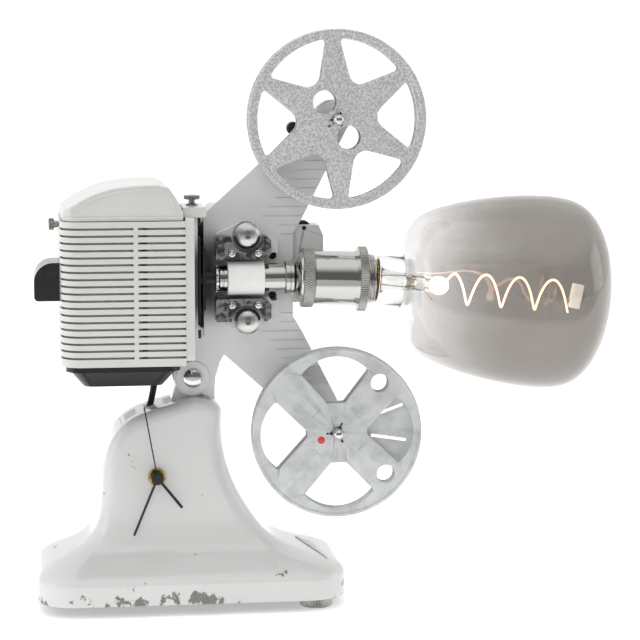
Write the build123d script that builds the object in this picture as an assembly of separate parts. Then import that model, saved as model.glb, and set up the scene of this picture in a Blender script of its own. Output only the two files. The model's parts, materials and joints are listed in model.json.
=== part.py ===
from build123d import *
import os
from math import asin, cos, degrees, pi, radians, sin, sqrt, tan

# A cine film projector turned into a table lamp, with a clock in its column.
# +X runs along the optical axis towards the lamp, +Y is away from the film side, +Z is up.
# It is drawn about the tilt pin (X), the column's mid plane (Y) and the table (Z), and at the
# end everything is moved so that the origin is the bottom centre of the whole object's box.

# ---------------------------------------------------------------- driving dimensions, mm
foot_length = 221.4            # base casting along X
foot_width = 126.0             # base casting along Y
foot_corner = 29.0             # plan radius of the foot's corners
foot_offset = -3.2             # foot centre from the tilt pin, along X
skirt_bottom = 8.5             # the casting's rim above the table
skirt_height = 14.0            # upright rim of the foot
base_wall = 3.5                # cast wall of the base
column_left = -65.5            # column's left face from the tilt pin
column_right = 20.0            # column's right face from the tilt pin
column_depth = 60.0            # column along Y near its top
column_corner = 14.0           # plan radius of the column's corners
shoulder_radius = 9.0          # round of the column's top edges
cap_width = 30.0               # vented cap along Y
cap_left = -52.0               # vented cap's left end
cap_right = 12.0               # vented cap's right end
cap_thickness = 3.0
cap_gap = 0.2                  # all round between cap and casting
pin_height = 163.5             # tilt pin above the table
pin_radius = 4.0
running = 0.05                 # radial running clearance of shafts in bores
part_gap = 0.3                 # space between faces that slide or turn past each other
ear_radius = 13.5              # round of the hinge ears
ear_outer = 14.0               # outer faces of the hinge ears from the mid plane
ear_thickness = 6.0
pin_head_radius = 7.2
pin_head_height = 3.2

axis_y = -33.0                 # optical axis, film and reels from the mid plane
axis_height = 237.6            # optical axis above the table
plate_thickness = 3.0          # K-shaped mechanism plate
plate_left = 8.0               # mechanism plate's left edge
plate_right = 72.4             # mechanism plate's right edge between the arms
plate_half_height = 44.2       # half the height of the plate's left edge
arm_root = 78.7                # outer corner at the root of each arm
arm_root_height = 40.5
reel_x = 101.7                 # reel spindles from the tilt pin
reel_rise = 112.3              # reel spindles above and below the optical axis
arm_end_radius = 12.0
rib_pitch = 6.6                # grooves across the arms
upper_rib_rise = 29.6          # first groove above the optical axis
lower_rib_rise = 27.2          # first groove below the optical axis
rib_starts = (62.5, 62.5, 50.4, 55.4, 60.1, 65.2, 70.6, 76.0, 81.1)
rib_width = 0.9
rib_depth = 0.7
case_back = 25.0               # rear face of the mechanism case
case_wall = 3.0
case_right = 71.0
case_corner = 14.0             # cut-off corners on the housing side

housing_left = -95.0           # lamp housing
housing_right = -8.5
housing_front = -68.0
housing_back = 28.0
housing_bottom = 180.0
housing_height = 101.3
housing_corner = 15.0
housing_wall = 4.5
fin_count = 19
fin_pitch = 5.0
fin_first = 6.3                # first groove above the housing's lower edge
fin_groove = 1.5
fin_depth = 2.4
rib_x = -43.0                  # upright rib across the fins
rib_half = 1.6
lid_height = 25.0
lid_right = -10.0              # lid's upright right edge
lid_wall = 3.0
tray_height = 15.6
tray_flange = 4.0
tray_inset = 3.0
tray_taper = 12.5
tray_wall = 2.5
frame_thickness = 6.2          # upright frame that closes the housing's right side
flange_thickness = 3.0         # case flange behind the frame
lid_screw_x = -2.0             # thumbscrew that holds the lid's catch
lid_screw_y = -40.0
side_screw_y = -18.0           # thumbscrew on the housing's left side
hood_length = 18.0             # black motor hood on the left side
hood_width = 40.0
hood_bottom = 223.5
hood_top = 250.5

sprocket_x = 37.3
sprocket_rise = 30.6           # film sprockets above and below the optical axis
sprocket_radius = 8.6
sprocket_teeth = 12
sprocket_cap_radius = 9.4
sprocket_shaft = 3.0
shoe_bore = 11.8               # round cut of the film shoes about the sprockets
gear_teeth = 30
plate_screw_x = 57.5           # black screws beside the shoe bases
plate_screw_rise = 14.3
film_width = 8.0
guide_x = 72.2                 # guide roller on its tab
guide_z = 343.0

upper_reel_radius = 63.5
lower_reel_radius = 61.2
reel_gap = 9.6                 # channel between a reel's flanges
reel_sheet = 1.6               # flange thickness
reel_roll = 0.5                # how far the rolled rims stand proud
upper_core_radius = 27.0       # drum that the film is wound on
lower_core_radius = 19.5
reel_core_wall = 1.5
reel_hub_radius = 6.4          # hub tube round the spindle
reel_bore = 4.0
spindle_radius = 3.9
spindle_ball = 3.95

sleeve_radius = 12.5           # white insulating sleeve
sleeve_start = 23.2            # from the tilt pin
sleeve_end = 49.2
socket_shell_radius = 19.6
ring_rear_radius = 21.3
ring_front_radius = 23.3
socket_wall = 1.2
socket_droop = 2.0             # degrees that the socket hangs below the axis
bulb_droop = 5.0               # degrees that the bulb hangs below the axis
bulb_neck_radius = 17.8
bulb_radius = 69.4
bulb_length = 179.0            # from the socket's front ring to the end of the glass
pivot = 70.6                   # where the socket begins to hang
front_x = 49.6                 # middle of the front ring from the pivot
socket_end = 57.9              # end of the socket's shell from the pivot
neck_start = 9.6               # where the glass begins, from the front ring
glass_wall = 1.0
cap_screw_radius = 13.0        # bulb's screw cap

wheel_x = 81.5                 # focus wheel in the lens mount
wheel_rise = 33.0              # its centre above the optical axis
wheel_radius = 5.3

clock_x = -27.6
clock_z = 95.0
movement_size = 48.0
movement_depth = 15.0
shaft_hole = 4.0               # hole for the clock's threaded collar
hand_stand_off = 5.4           # hour hand in front of the column, so that all clear the flare
hand_pitch = 1.2               # from one hand to the next
hour_length = 28.4
minute_length = 44.7
second_length = 52.6
hour_angle = -51.5             # degrees from +X, anticlockwise seen from the front
minute_angle = -112.5
second_angle = 100.0

levelling_x = 86.0
levelling_y = -41.0
levelling_radius = 11.5
foot_pad_height = 8.0
post_screw_length = 9.5
rubber_places = ((-84.0, -22.0), (-84.0, 22.0), (84.0, 38.0))
badge_corners = ((77.5, 14.0), (89.0, 6.0), (94.5, -38.0))
grommet_x = -20.0              # mains lead inlet in the back of the skirt
grommet_radius = 4.0
lead_diameter = 4.5
lead_top = (-26.2, 1.0)        # where the head's lead leaves the tray, X and Y
lead_bottom = (-32.2, 1.0)     # where it enters the cap
lead_bend = (-28.2, 152.0)     # its bend, X and Z
lead_end = 137.5               # height of its lower end, inside the column

# ---------------------------------------------------------------- worked-out places
foot_left = foot_offset - foot_length / 2
foot_right = foot_offset + foot_length / 2
skirt_top = skirt_bottom + skirt_height
grommet_z = skirt_bottom + skirt_height / 2 + 1
wheel_z = axis_height + wheel_rise
plate_front = -ear_outer - plate_thickness
upper_z = axis_height + reel_rise
lower_z = axis_height - reel_rise
reel_front = axis_y - reel_gap / 2
reel_back = axis_y + reel_gap / 2
housing_top = housing_bottom + housing_height
frame_right = housing_right + frame_thickness
tray_bottom = housing_bottom - tray_height
case_left = frame_right + flange_thickness
gear_module = sprocket_rise / gear_teeth
gear_tip = (gear_teeth / 2 + 0.9) * gear_module
case_half_height = sprocket_rise + gear_tip + 0.5 + case_wall
parts = {}


# ---------------------------------------------------------------- small helpers
def block(x0, x1, y0, y1, z0, z1):
    return Pos((x0 + x1) / 2, (y0 + y1) / 2, (z0 + z1) / 2) * Box(x1 - x0, y1 - y0, z1 - z0)


def along_x(x0, x1, y, z, radius):
    return Pos((x0 + x1) / 2, y, z) * Rot(0, 90, 0) * Cylinder(radius, x1 - x0)


def along_y(x, z, y0, y1, radius):
    return Pos(x, (y0 + y1) / 2, z) * Rot(90, 0, 0) * Cylinder(radius, y1 - y0)


def along_z(x, y, z0, z1, radius):
    return Pos(x, y, (z0 + z1) / 2) * Cylinder(radius, z1 - z0)


def slab(outline, y0, y1):
    """A flat outline in X and Z, given a thickness from y0 to y1."""
    return extrude(Plane.XZ.offset(-y1) * outline, amount=y1 - y0)


def polygon(*points):
    return make_face(Polyline(*points, close=True))


def rounded(x0, x1, y0, y1, z, radius):
    """A rounded rectangle in plan at height z."""
    return Pos((x0 + x1) / 2, (y0 + y1) / 2, z) * RectangleRounded(x1 - x0, y1 - y0, radius)


def turned(points):
    """A solid turned about X from half-profile points (distance along X, radius)."""
    return revolve(make_face(Polyline(*points, close=True)), axis=Axis.X, revolution_arc=360)


def solids(*shapes):
    found = []
    for shape in shapes:
        found += list(shape.solids())
    return Compound(children=found)


def save(name, *shapes):
    parts[name] = solids(*shapes)


# ---------------------------------------------------------------- base
# each row: height above the skirt, then how much of the flare is left, on the left side,
# on the right side and in depth
flare = [
    (0.0, 1.0, 1.0, 1.0),
    (4.0, 0.97, 0.99, 0.93),
    (8.0, 0.90, 0.935, 0.78),
    (12.5, 0.76, 0.785, 0.56),
    (18.0, 0.52, 0.585, 0.30),
    (25.0, 0.28, 0.425, 0.14),
    (33.0, 0.14, 0.32, 0.075),
    (42.0, 0.075, 0.245, 0.045),
    (55.0, 0.035, 0.155, 0.03),
    (72.5, 0.01, 0.065, 0.015),
    (92.5, -0.02, 0.01, 0.0),
    (113.0, -0.045, 0.0, -0.01),
    (134.0, -0.07, 0.0, -0.02),
]
# the column's top, seen from the front
top_line = [
    (-69.0, 86.0), (-65.6, 100.0), (-62.6, 113.0), (-57.3, 124.0), (-48.0, 134.0),
    (-32.5, 141.3), (-17.0, 145.8), (-5.5, 149.0), (0.5, 150.0), (6.0, 149.6),
    (12.0, 148.2), (17.5, 145.5), (30.0, 137.0),
]


def column(inset, bottom):
    """The flared column, shrunk by inset on every side, from its skirt up."""
    sections = []
    for rise, left, right, depth in flare:
        x0 = column_left + (foot_left - column_left) * left + inset
        x1 = column_right + (foot_right - column_right) * right - inset
        half = column_depth / 2 + (foot_width - column_depth) / 2 * depth - inset
        radius = column_corner + (foot_corner - column_corner) * max(depth, 0.0) - inset
        sections.append(rounded(x0, x1, -half, half, skirt_top + rise, radius))
    flared = loft(sections)
    rim = rounded(foot_left + inset, foot_right - inset, -foot_width / 2 + inset,
                  foot_width / 2 - inset, bottom, foot_corner - inset)
    return flared + extrude(rim, amount=skirt_top - bottom)


def above_top(drop):
    """Everything above the column's top line, lowered by drop."""
    line = Spline(*[(x, z - drop) for x, z in top_line])
    x0, x1 = top_line[0][0], top_line[-1][0]
    z0, z1 = top_line[0][1] - drop, top_line[-1][1] - drop
    high = 260.0
    sides = Polyline((x1, z1), (x1 + 60, z1), (x1 + 60, high), (x0 - 60, high), (x0 - 60, z0), (x0, z0))
    return slab(make_face(Wire([line] + list(sides.edges()))), -80, 80)


def make_base():
    outer = column(0.0, skirt_bottom) - above_top(0.0)
    shoulders = [e for e in outer.edges()
                 if e.center().Z > 128 and abs(e.center().Y) > 20 and e.length > 30]
    outer = outer.fillet(shoulder_radius, shoulders)
    inner = column(base_wall, skirt_bottom - 1) - above_top(base_wall)
    casting = outer - inner
    # opening for the vented cap
    casting -= block(cap_left, cap_right, -cap_width / 2, cap_width / 2, 120, 170)
    cap_plan = block(cap_left + cap_gap, cap_right - cap_gap, -cap_width / 2 + cap_gap,
                     cap_width / 2 - cap_gap, 110, 170)
    cap = (cap_plan - above_top(0.0)) & above_top(cap_thickness)
    # vent slots, and the hole for the head's lead
    for group in (-45.0, -17.0):
        for row in range(4):
            cap -= block(group - 4, group + 4, -11.5 + 6 * row, -8.5 + 6 * row, 120, 160)
    for row in (0, 1, 3):
        cap -= block(-35.5, -27.5, -11.5 + 6 * row, -8.5 + 6 * row, 120, 160)
    cap -= lead_lower_run(lead_diameter / 2 + 1.0)
    # lug for the tilt pin
    lug_half = ear_outer - ear_thickness - part_gap
    lug_disc = slab(Pos(0, pin_height) * Circle(ear_radius - 3.0), -lug_half, lug_half)
    lug_foot = slab(polygon((-16, 144.5), (7, 144.5), (ear_radius - 3.0, pin_height),
                            (-(ear_radius - 3.0), pin_height)), -lug_half, lug_half)
    lug = (lug_disc + lug_foot) - along_y(0, pin_height, -30, 30, pin_radius + running)
    save("column_cap", cap + lug)
    # clock collar hole, levelling boss, screw posts, mains grommet hole
    casting -= along_y(clock_x, clock_z, -60, 0, shaft_hole)
    for x, y in post_places():
        casting += along_z(x, y, skirt_bottom + 2.4, skirt_top + 2, 4.5) & column(0.4, skirt_bottom)
        casting -= along_z(x, y, skirt_bottom, skirt_bottom + post_screw_length + 1, 1.6)
    casting -= along_y(grommet_x, grommet_z, 40, 80, grommet_radius)
    save("base_casting", casting)


def post_places():
    half_x, half_y = foot_length / 2 - 30, foot_width / 2 - 9
    return [(foot_offset + sx * half_x, sy * half_y) for sx in (-1, 1) for sy in (-1, 1)]


def make_base_fittings():
    inset = base_wall + 0.3
    plate = extrude(rounded(foot_left + inset, foot_right - inset, -foot_width / 2 + inset,
                            foot_width / 2 - inset, skirt_bottom + 0.3, foot_corner - inset), amount=2.0)
    screws = []
    for x, y in post_places():
        plate -= along_z(x, y, skirt_bottom, skirt_bottom + 4, 1.8)
        head = along_z(x, y, skirt_bottom - 1.2, skirt_bottom + 0.3, 3.2)
        screws.append(head + along_z(x, y, skirt_bottom + 0.3, skirt_bottom + post_screw_length, 1.5))
    plate -= along_z(levelling_x, levelling_y, 0, 20, 4.0 + running)
    save("bottom_plate", plate)
    save("bottom_screws", *screws)
    feet = []
    for x, y in rubber_places:
        pad = along_z(x, y, 0, skirt_bottom + 0.3, 8.0)
        feet.append(fillet(pad.edges().group_by(Axis.Z)[0], 1.2))
    save("rubber_feet", *feet)
    wheel = along_z(levelling_x, levelling_y, 0, foot_pad_height, levelling_radius)
    wheel = chamfer(wheel.edges(), 0.6)
    stem = along_z(levelling_x, levelling_y, foot_pad_height, skirt_top - 5, 4.0)
    save("levelling_foot", wheel + stem)
    # a plain leaf-shaped badge lying on the foot's sloping top
    leaf = extrude(polygon(*badge_corners), amount=80)
    body = column(0.0, skirt_bottom)
    save("badge_plate", (Pos(0, 0, 0.8) * body - body) & leaf)
    rim_outside = foot_width / 2
    ring = along_y(grommet_x, grommet_z, rim_outside, rim_outside + 2, grommet_radius + 2)
    ring += along_y(grommet_x, grommet_z, rim_outside - base_wall, rim_outside, grommet_radius)
    ring += along_y(grommet_x, grommet_z, rim_outside - base_wall - 1.5, rim_outside - base_wall,
                    grommet_radius + 1.2)
    ring -= along_y(grommet_x, grommet_z, 30, 80, grommet_radius - 1.6)
    save("mains_grommet", ring)


def column_front(z):
    """Y of the column's front face at height z."""
    rows = [(skirt_top + rise, depth) for rise, _, _, depth in flare]
    for (z0, d0), (z1, d1) in zip(rows, rows[1:]):
        if z0 <= z <= z1:
            depth = d0 + (d1 - d0) * (z - z0) / (z1 - z0)
            return -(column_depth / 2 + (foot_width - column_depth) / 2 * depth)
    return -column_depth / 2


def hand(angle, length, width, y0, thickness, hub):
    bar = Pos(clock_x, 0, clock_z) * Rot(0, -angle, 0) * Pos(length / 2, y0 + thickness / 2, 0) * \
        Box(length, thickness, width)
    eye = along_y(clock_x, clock_z, y0, y0 + thickness, hub)
    return bar + eye


def make_clock():
    front = column_front(clock_z)
    half = movement_size / 2
    inside = column_front(clock_z + half) + base_wall + 0.6
    case = block(clock_x - half, clock_x + half, inside, inside + movement_depth,
                 clock_z - half, clock_z + half)
    case = fillet(case.edges().filter_by(Axis.Y), 6)
    bay = block(clock_x - 23, clock_x + 23, inside + 3, inside + movement_depth + 1,
                clock_z - 21, clock_z - 9.5)
    wheel_y = inside + movement_depth
    collar = along_y(clock_x, clock_z, front - 3.6, inside, shaft_hole - 0.25)
    movement = case - bay + collar
    movement -= along_y(clock_x, clock_z, front - 8, wheel_y + 1, 2.6)
    save("clock_movement", movement)
    battery = along_x(clock_x - 22, clock_x + 21, inside + 3 + 5.4, clock_z - 15.3, 5.1)
    battery += along_x(clock_x + 21, clock_x + 22, inside + 8.4, clock_z - 15.3, 1.8)
    save("clock_battery", battery)
    nut = along_y(clock_x, clock_z, front - 2.4, front - 0.5, 6.4)
    nut -= along_y(clock_x, clock_z, front - 8, front, shaft_hole - 0.25)
    save("clock_nut", nut)
    y = front - hand_stand_off
    tube = along_y(clock_x, clock_z, y, inside + 4, 2.5) - along_y(clock_x, clock_z, -60, 60, 1.9)
    hour = hand(hour_angle, hour_length, 2.0, y, 0.6, 4.4) + tube
    save("hour_hand", hour - along_y(clock_x, clock_z, -60, 60, 1.9))
    inner = along_y(clock_x, clock_z, y - hand_pitch, inside + 8, 1.85) - along_y(clock_x, clock_z, -60, 60, 1.0)
    minute = hand(minute_angle, minute_length, 1.7, y - hand_pitch, 0.6, 3.6) + inner
    save("minute_hand", minute - along_y(clock_x, clock_z, -60, 60, 1.0))
    y -= 2 * hand_pitch
    pinion = along_y(clock_x, clock_z, y, inside + 11, 0.95)
    button = along_y(clock_x, clock_z, y - 2.2, y, 4.6)
    button = fillet(button.edges().group_by(Axis.Y)[0], 1.2)
    save("second_hand", hand(second_angle, second_length, 0.9, y, 0.5, 2.4) + pinion + button)
    knob = along_y(clock_x + 12, clock_z + 9, wheel_y + 0.3, wheel_y + 5, 6.0)
    save("time_setting_wheel", knob)


# ---------------------------------------------------------------- mechanism plate and case
def arm_outline(sign):
    """One reel arm, from the plate out to its spindle; sign is +1 for the upper arm."""
    z = axis_height + sign * reel_rise
    end = Pos(reel_x, z) * Circle(arm_end_radius)
    root = Line((plate_left, axis_height + sign * plate_half_height),
                (arm_root, axis_height + sign * arm_root_height))
    return make_hull(list(end.edges()) + [root])


def plate_outline():
    z0, z1 = axis_height - plate_half_height, axis_height + plate_half_height
    shoulder = 30.0
    middle = polygon((plate_left, z0), (arm_root, axis_height - arm_root_height),
                     (plate_right, axis_height - shoulder), (plate_right, axis_height + shoulder),
                     (arm_root, axis_height + arm_root_height), (plate_left, z1))
    return middle + arm_outline(1) + arm_outline(-1)


def rib_rows(first):
    """Grooves across one arm: (distance from the optical axis, where each starts)."""
    return [(first + k * rib_pitch, start) for k, start in enumerate(rib_starts)]


def make_plate():
    front = plate_front
    plate = slab(plate_outline(), front, -ear_outer)
    tab = Pos(guide_x, guide_z) * Circle(4.2) + polygon((guide_x, guide_z - 4.2), (guide_x + 12, guide_z - 4.2),
                                                        (guide_x + 12, guide_z + 3), (guide_x, guide_z + 4.2))
    plate += slab(tab, front, -ear_outer)
    for sign, first in ((1, upper_rib_rise), (-1, lower_rib_rise)):
        for rise, start in rib_rows(first):
            z = axis_height + sign * rise
            plate -= block(start, reel_x, front - 1, front + rib_depth, z - rib_width / 2, z + rib_width / 2)
        z = axis_height + sign * sprocket_rise
        plate -= along_y(sprocket_x, z, -60, 60, sprocket_shaft + running)
        plate -= along_y(reel_x, axis_height + sign * reel_rise, -60, 60, spindle_radius + running)
    plate -= along_y(guide_x, guide_z, -60, 60, 2.0 + running)
    plate -= along_y(sprocket_x, axis_height, -60, 60, sprocket_shaft + running)
    save("mechanism_plate", plate)


def case_outline(inset):
    """The case seen from the front, with its two corners on the housing side cut off."""
    x0, x1 = case_left + inset, case_right - inset
    z0, z1 = axis_height - case_half_height + inset, axis_height + case_half_height - inset
    cut = case_corner - inset * (2 - sqrt(2))
    return polygon((x0, z0 + cut), (x0 + cut, z0), (x1, z0), (x1, z1), (x0 + cut, z1), (x0, z1 - cut))


def make_case():
    """The cast case behind the plate, its flange towards the housing and its hinge ears."""
    front = -ear_outer
    case = slab(case_outline(0.0), front, case_back)
    case = fillet(case.edges().group_by(Axis.Y)[-1], 5)
    case -= slab(case_outline(case_wall), front - 1, case_back - case_wall)
    flange = block(frame_right, frame_right + flange_thickness, housing_front + 12, housing_back - 3,
                   housing_bottom + 14, housing_top + 1.7)
    case += flange
    ear_in = ear_outer - ear_thickness
    neck = polygon((-7.5, 172.0), (-1.8, 182.0), (case_left, 200.0), (30.0, 200.0), (24.0, 182.5), (19.6, 174.5),
                   (16.4, 164.0), (15.6, 155.5), (15.6, 147.3), (-7.0, 157.6), (-12.5, 160.0))
    ear = neck + Pos(0, pin_height) * Circle(ear_radius)
    for y0, y1 in ((-ear_outer, -ear_in), (ear_in, ear_outer)):
        case += slab(ear, y0, y1)
    boss_ring = along_y(0, pin_height, -ear_outer - 0.8, -ear_outer, ear_radius - 1.2)
    case += boss_ring
    case -= along_y(0, pin_height, -60, 60, pin_radius + running)
    for rise in (-sprocket_rise, 0.0, sprocket_rise):
        case -= along_y(sprocket_x, axis_height + rise, 0, 60, sprocket_shaft + running)
    case -= along_x(frame_right - 1, frame_right + 8, axis_y, axis_height, 5.2)
    save("mechanism_case", case)
    pin = along_y(0, pin_height, -ear_outer - 0.9, ear_outer + 0.1, pin_radius)
    for sign in (-1, 1):
        face = sign * (ear_outer + (0.9 if sign < 0 else 0.1))
        head = Pos(0, face, pin_height) * Sphere(pin_head_radius)
        squash = head & block(-10, 10, min(face, face + sign * 8), max(face, face + sign * 8),
                              pin_height - 10, pin_height + 10)
        shallow = scale(squash, by=(1, pin_head_height / pin_head_radius, 1))
        pin += Pos(0, face - face * pin_head_height / pin_head_radius, 0) * shallow
    save("tilt_pin", pin)


def gear(z, teeth, y0, y1):
    """A plain spur gear on the sprocket line; neighbours mesh with a little play."""
    root = (teeth / 2 - 1.15) * gear_module
    tip = gear_tip
    wheel = Circle(root)
    half_root, half_tip = pi * gear_module * 0.27, pi * gear_module * 0.11
    tooth = polygon((root - 0.5, -half_root), (tip, -half_tip), (tip, half_tip), (root - 0.5, half_root))
    for k in range(teeth):
        wheel += Rot(0, 0, (k + gear_phase(z)) * 360 / teeth) * tooth
    return slab(Pos(sprocket_x, z) * wheel, y0, y1)


def gear_phase(z):
    return 0.5 if abs(z - axis_height) < 1 else 0.0


def make_drive():
    """Three equal gears: the middle one drives both film sprockets the same way."""
    y0, y1 = -4.0, 2.0
    idler = gear(axis_height, gear_teeth, y0, y1)
    idler += along_y(sprocket_x, axis_height, plate_front, case_back + 4, sprocket_shaft)
    idler += along_y(sprocket_x, axis_height, case_back + 1, case_back + 9, 9.0)
    save("main_gear", idler)
    for name, sign in (("upper_sprocket", 1), ("lower_sprocket", -1)):
        z = axis_height + sign * sprocket_rise
        save(name + "_gear", gear(z, gear_teeth, y0, y1)
             - along_y(sprocket_x, z, y0 - 1, y1 + 1, sprocket_shaft + 0.01))
        half = film_width / 2
        drum = along_y(sprocket_x, z, axis_y - half, axis_y + half, sprocket_radius)
        for k in range(sprocket_teeth):
            angle = 360 / sprocket_teeth * k
            drum += Pos(sprocket_x, axis_y + half - 1.6, z) * Rot(0, angle, 0) * \
                Pos(sprocket_radius, 0, 0) * Box(1.6, 0.9, 1.1)
        back_flange = along_y(sprocket_x, z, axis_y + half, axis_y + half + 1.2, sprocket_cap_radius)
        shaft = along_y(sprocket_x, z, axis_y - half - 2, case_back + 2, sprocket_shaft)
        profile = [(0, 0), (0, sprocket_cap_radius - 0.4), (0.8, sprocket_cap_radius),
                   (2.2, sprocket_cap_radius - 0.2), (4.2, sprocket_cap_radius * 0.78),
                   (5.8, sprocket_cap_radius * 0.5), (6.6, sprocket_cap_radius * 0.22), (6.4, 0)]
        dome = Pos(sprocket_x, axis_y - half, z) * Rot(0, 0, -90) * turned(profile)
        save(name, drum + back_flange + shaft + dome)


def shoe_outline(sign):
    z = sign * 14.0
    face = polygon((14.7, sign * 30.3), (14.7, z), (49.6, z), (54.0, sign * 18.3), (54.0, sign * 27.5),
                   (51.0, sign * 30.3))
    face = fillet(face.vertices(), 1.4)
    face -= Pos(sprocket_x, sign * sprocket_rise) * Circle(shoe_bore)
    return Pos(0, axis_height) * face


def shoe_base_outline(sign):
    face = polygon((15.5, sign * 13.6), (15.5, sign * 30.8), (33.5, sign * 38.6), (44.5, sign * 38.9),
                   (60.5, sign * 24.5), (60.5, sign * 14.8))
    face = fillet(face.vertices(), 3.0) - Pos(plate_screw_x, sign * plate_screw_rise) * Circle(3.2)
    return Pos(0, axis_height) * face


def make_film_path():
    bases, shoes, screws = [], [], []
    for sign in (1, -1):
        z = axis_height + sign * sprocket_rise
        base = slab(shoe_base_outline(sign), axis_y + film_width / 2 + 1.8, plate_front)
        bases.append(base - along_y(sprocket_x, z, -60, 60, sprocket_shaft + 0.4))
        y1 = axis_y + film_width / 2 + 1.8
        shoes.append(slab(shoe_outline(sign), axis_y - 9.0, y1))
        for x in (26.0, 44.7):
            screw_z = axis_height + sign * 18.4
            shoes[-1] -= along_y(x, screw_z, -60, y1, 1.5)
            shank = along_y(x, screw_z, axis_y - 9.0, y1, 1.45)
            screws.append(shank + along_y(x, screw_z, axis_y - 10.2, axis_y - 9.0, 2.3))
        hole_z = axis_height + sign * plate_screw_rise
        screws.append(along_y(plate_screw_x, hole_z, plate_front - 1.2, plate_front, 2.5))
    save("shoe_bases", *bases)
    save("film_shoes", *shoes)
    save("shoe_screws", *screws)
    half = 30.0
    left = frame_right + flange_thickness + 1.4
    gate = block(left, left + 1.6, axis_y - 11, axis_y + 13, axis_height - half, axis_height + half)
    gate += block(frame_right + flange_thickness, left, axis_y - 9, axis_y + 11,
                  axis_height - half + 4, axis_height + half - 4)
    gate -= along_x(left - 5, left + 5, axis_y, axis_height, 5.2)
    save("aperture_plate", gate)
    shoe = block(left + 3.4, left + 5.4, axis_y - 8, axis_y + 9, axis_height - 22, axis_height + 22)
    for z in (axis_height - 17, axis_height + 17):
        shoe += along_x(left + 1.6, left + 3.4, axis_y + 4, z, 2.0)
    shoe -= along_x(left, left + 8, axis_y, axis_height, 5.2)
    save("pressure_plate", shoe)


def make_reel_spindle(name, z):
    """Spindle with ball tip and square key, running in the arm, and its belt pulley behind."""
    shaft = along_y(reel_x, z, reel_front - 6.5, 4.0, spindle_radius)
    ball = Pos(reel_x, reel_front - 7.5, z) * Sphere(spindle_ball)
    washer = along_y(reel_x, z, reel_back + reel_sheet + 0.2, plate_front - part_gap, 6.5)
    groove = [(-5.0, 3.0), (-5.0, 13.0), (-3.4, 13.0), (-1.6, 10.6), (1.6, 10.6), (3.4, 13.0),
              (5.0, 13.0), (5.0, 3.0)]
    pulley = Pos(reel_x, -ear_outer + 7.0, z) * Rot(0, 0, 90) * turned(groove)
    save(name, shaft + ball + washer + pulley)


def upper_window():
    """A rounded triangle between two spokes, pointing at the hub, on the +X axis."""
    rim, tip, edge = 57.0, 24.0, 25.6
    arc = ThreePointArc((rim * cos(radians(edge)), -rim * sin(radians(edge))), (rim, 0),
                        (rim * cos(radians(edge)), rim * sin(radians(edge))))
    sides = Polyline(arc @ 1, (tip, 0), arc @ 0)
    face = make_face(Wire([arc] + list(sides.edges())))
    inner = [v for v in face.vertices() if v.X < tip + 1]
    face = fillet(inner, 9.0)
    outer = [v for v in face.vertices() if sqrt(v.X ** 2 + v.Y ** 2) > rim - 1]
    return fillet(outer, 2.6)


def upper_flange_outline():
    face = Circle(upper_reel_radius)
    window = upper_window()
    for k in range(6):
        face -= Rot(0, 0, 63 + 60 * k) * window
    for angle in (127.0, -57.5):
        face -= Rot(0, 0, angle) * Pos(15.2, 0) * Circle(8.5)
    face -= Circle(reel_bore)
    face -= Rot(0, 0, 218) * Pos(6.0, 0) * Rectangle(5.0, 1.9)
    return face


def lower_window(half_width, spread):
    """A straight-sided window with a round outer edge, on the +X axis."""
    inner, corner, rim = 21.6, 43.5, 55.4
    outer_half = half_width + (corner - inner) * tan(radians(spread))
    arc = ThreePointArc((corner, -outer_half), (rim, 0), (corner, outer_half))
    sides = Polyline(arc @ 1, (inner, half_width), (inner, -half_width), arc @ 0)
    return fillet(make_face(Wire([arc] + list(sides.edges()))).vertices(), 1.2)


def lower_flange_outline(slotted):
    face = Circle(lower_reel_radius)
    for k, (half_width, spread) in enumerate(((2.0, 45), (6.5, 39.5), (2.0, 46), (5.5, 42))):
        if slotted and k == 0:
            for angle in (20.0, -9.0):
                face -= Rot(0, 0, angle) * Pos(39.5, 0) * Rectangle(26, 2.2)
        else:
            face -= Rot(0, 0, 2 + 90 * k) * lower_window(half_width, spread)
    for angle in (49.0, -41.0):
        face -= Rot(0, 0, angle) * Pos(47.0, 0) * Circle(6.6)
    face -= Circle(reel_bore)
    for k in range(3):
        face -= Rot(0, 0, 65 + 118 * k) * Pos(5.5, 0) * Rectangle(5.0, 1.3)
    return face


def make_reels():
    for name, z, radius, core in (("upper", upper_z, upper_reel_radius, upper_core_radius),
                                  ("lower", lower_z, lower_reel_radius, lower_core_radius)):
        if name == "upper":
            front_face, back_face = upper_flange_outline(), upper_flange_outline()
        else:
            front_face, back_face = lower_flange_outline(False), lower_flange_outline(True)
        place = Pos(reel_x, z)
        bead = 2.4 if name == "lower" else 3.0
        rim = place * (Circle(radius) - Circle(radius - bead))
        front = slab(place * front_face, reel_front - reel_sheet, reel_front)
        front += slab(rim, reel_front - reel_sheet - reel_roll, reel_front - reel_sheet)
        back = slab(place * back_face, reel_back, reel_back + reel_sheet)
        back += slab(rim, reel_back + reel_sheet, reel_back + reel_sheet + reel_roll)
        drum = slab(place * (Circle(core) - Circle(core - reel_core_wall)), reel_front, reel_back)
        hub = slab(place * (Circle(reel_hub_radius) - Circle(reel_bore)), reel_front, reel_back)
        save(name + "_reel_front", front)
        save(name + "_reel_back", back)
        save(name + "_reel_core", drum, hub)
        make_reel_spindle(name + "_spindle", z)


def make_guide_roller():
    stud = along_y(guide_x, guide_z, plate_front - 7.5, -ear_outer + 3, 2.0)
    roller = along_y(guide_x, guide_z, plate_front - 7.0, plate_front - part_gap, 4.7)
    roller = fillet(roller.edges().group_by(Axis.Y)[0], 1.5)
    clip = along_y(guide_x, guide_z, -ear_outer + part_gap, -ear_outer + 3, 3.4)
    save("guide_roller", stud + roller + clip)


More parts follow.
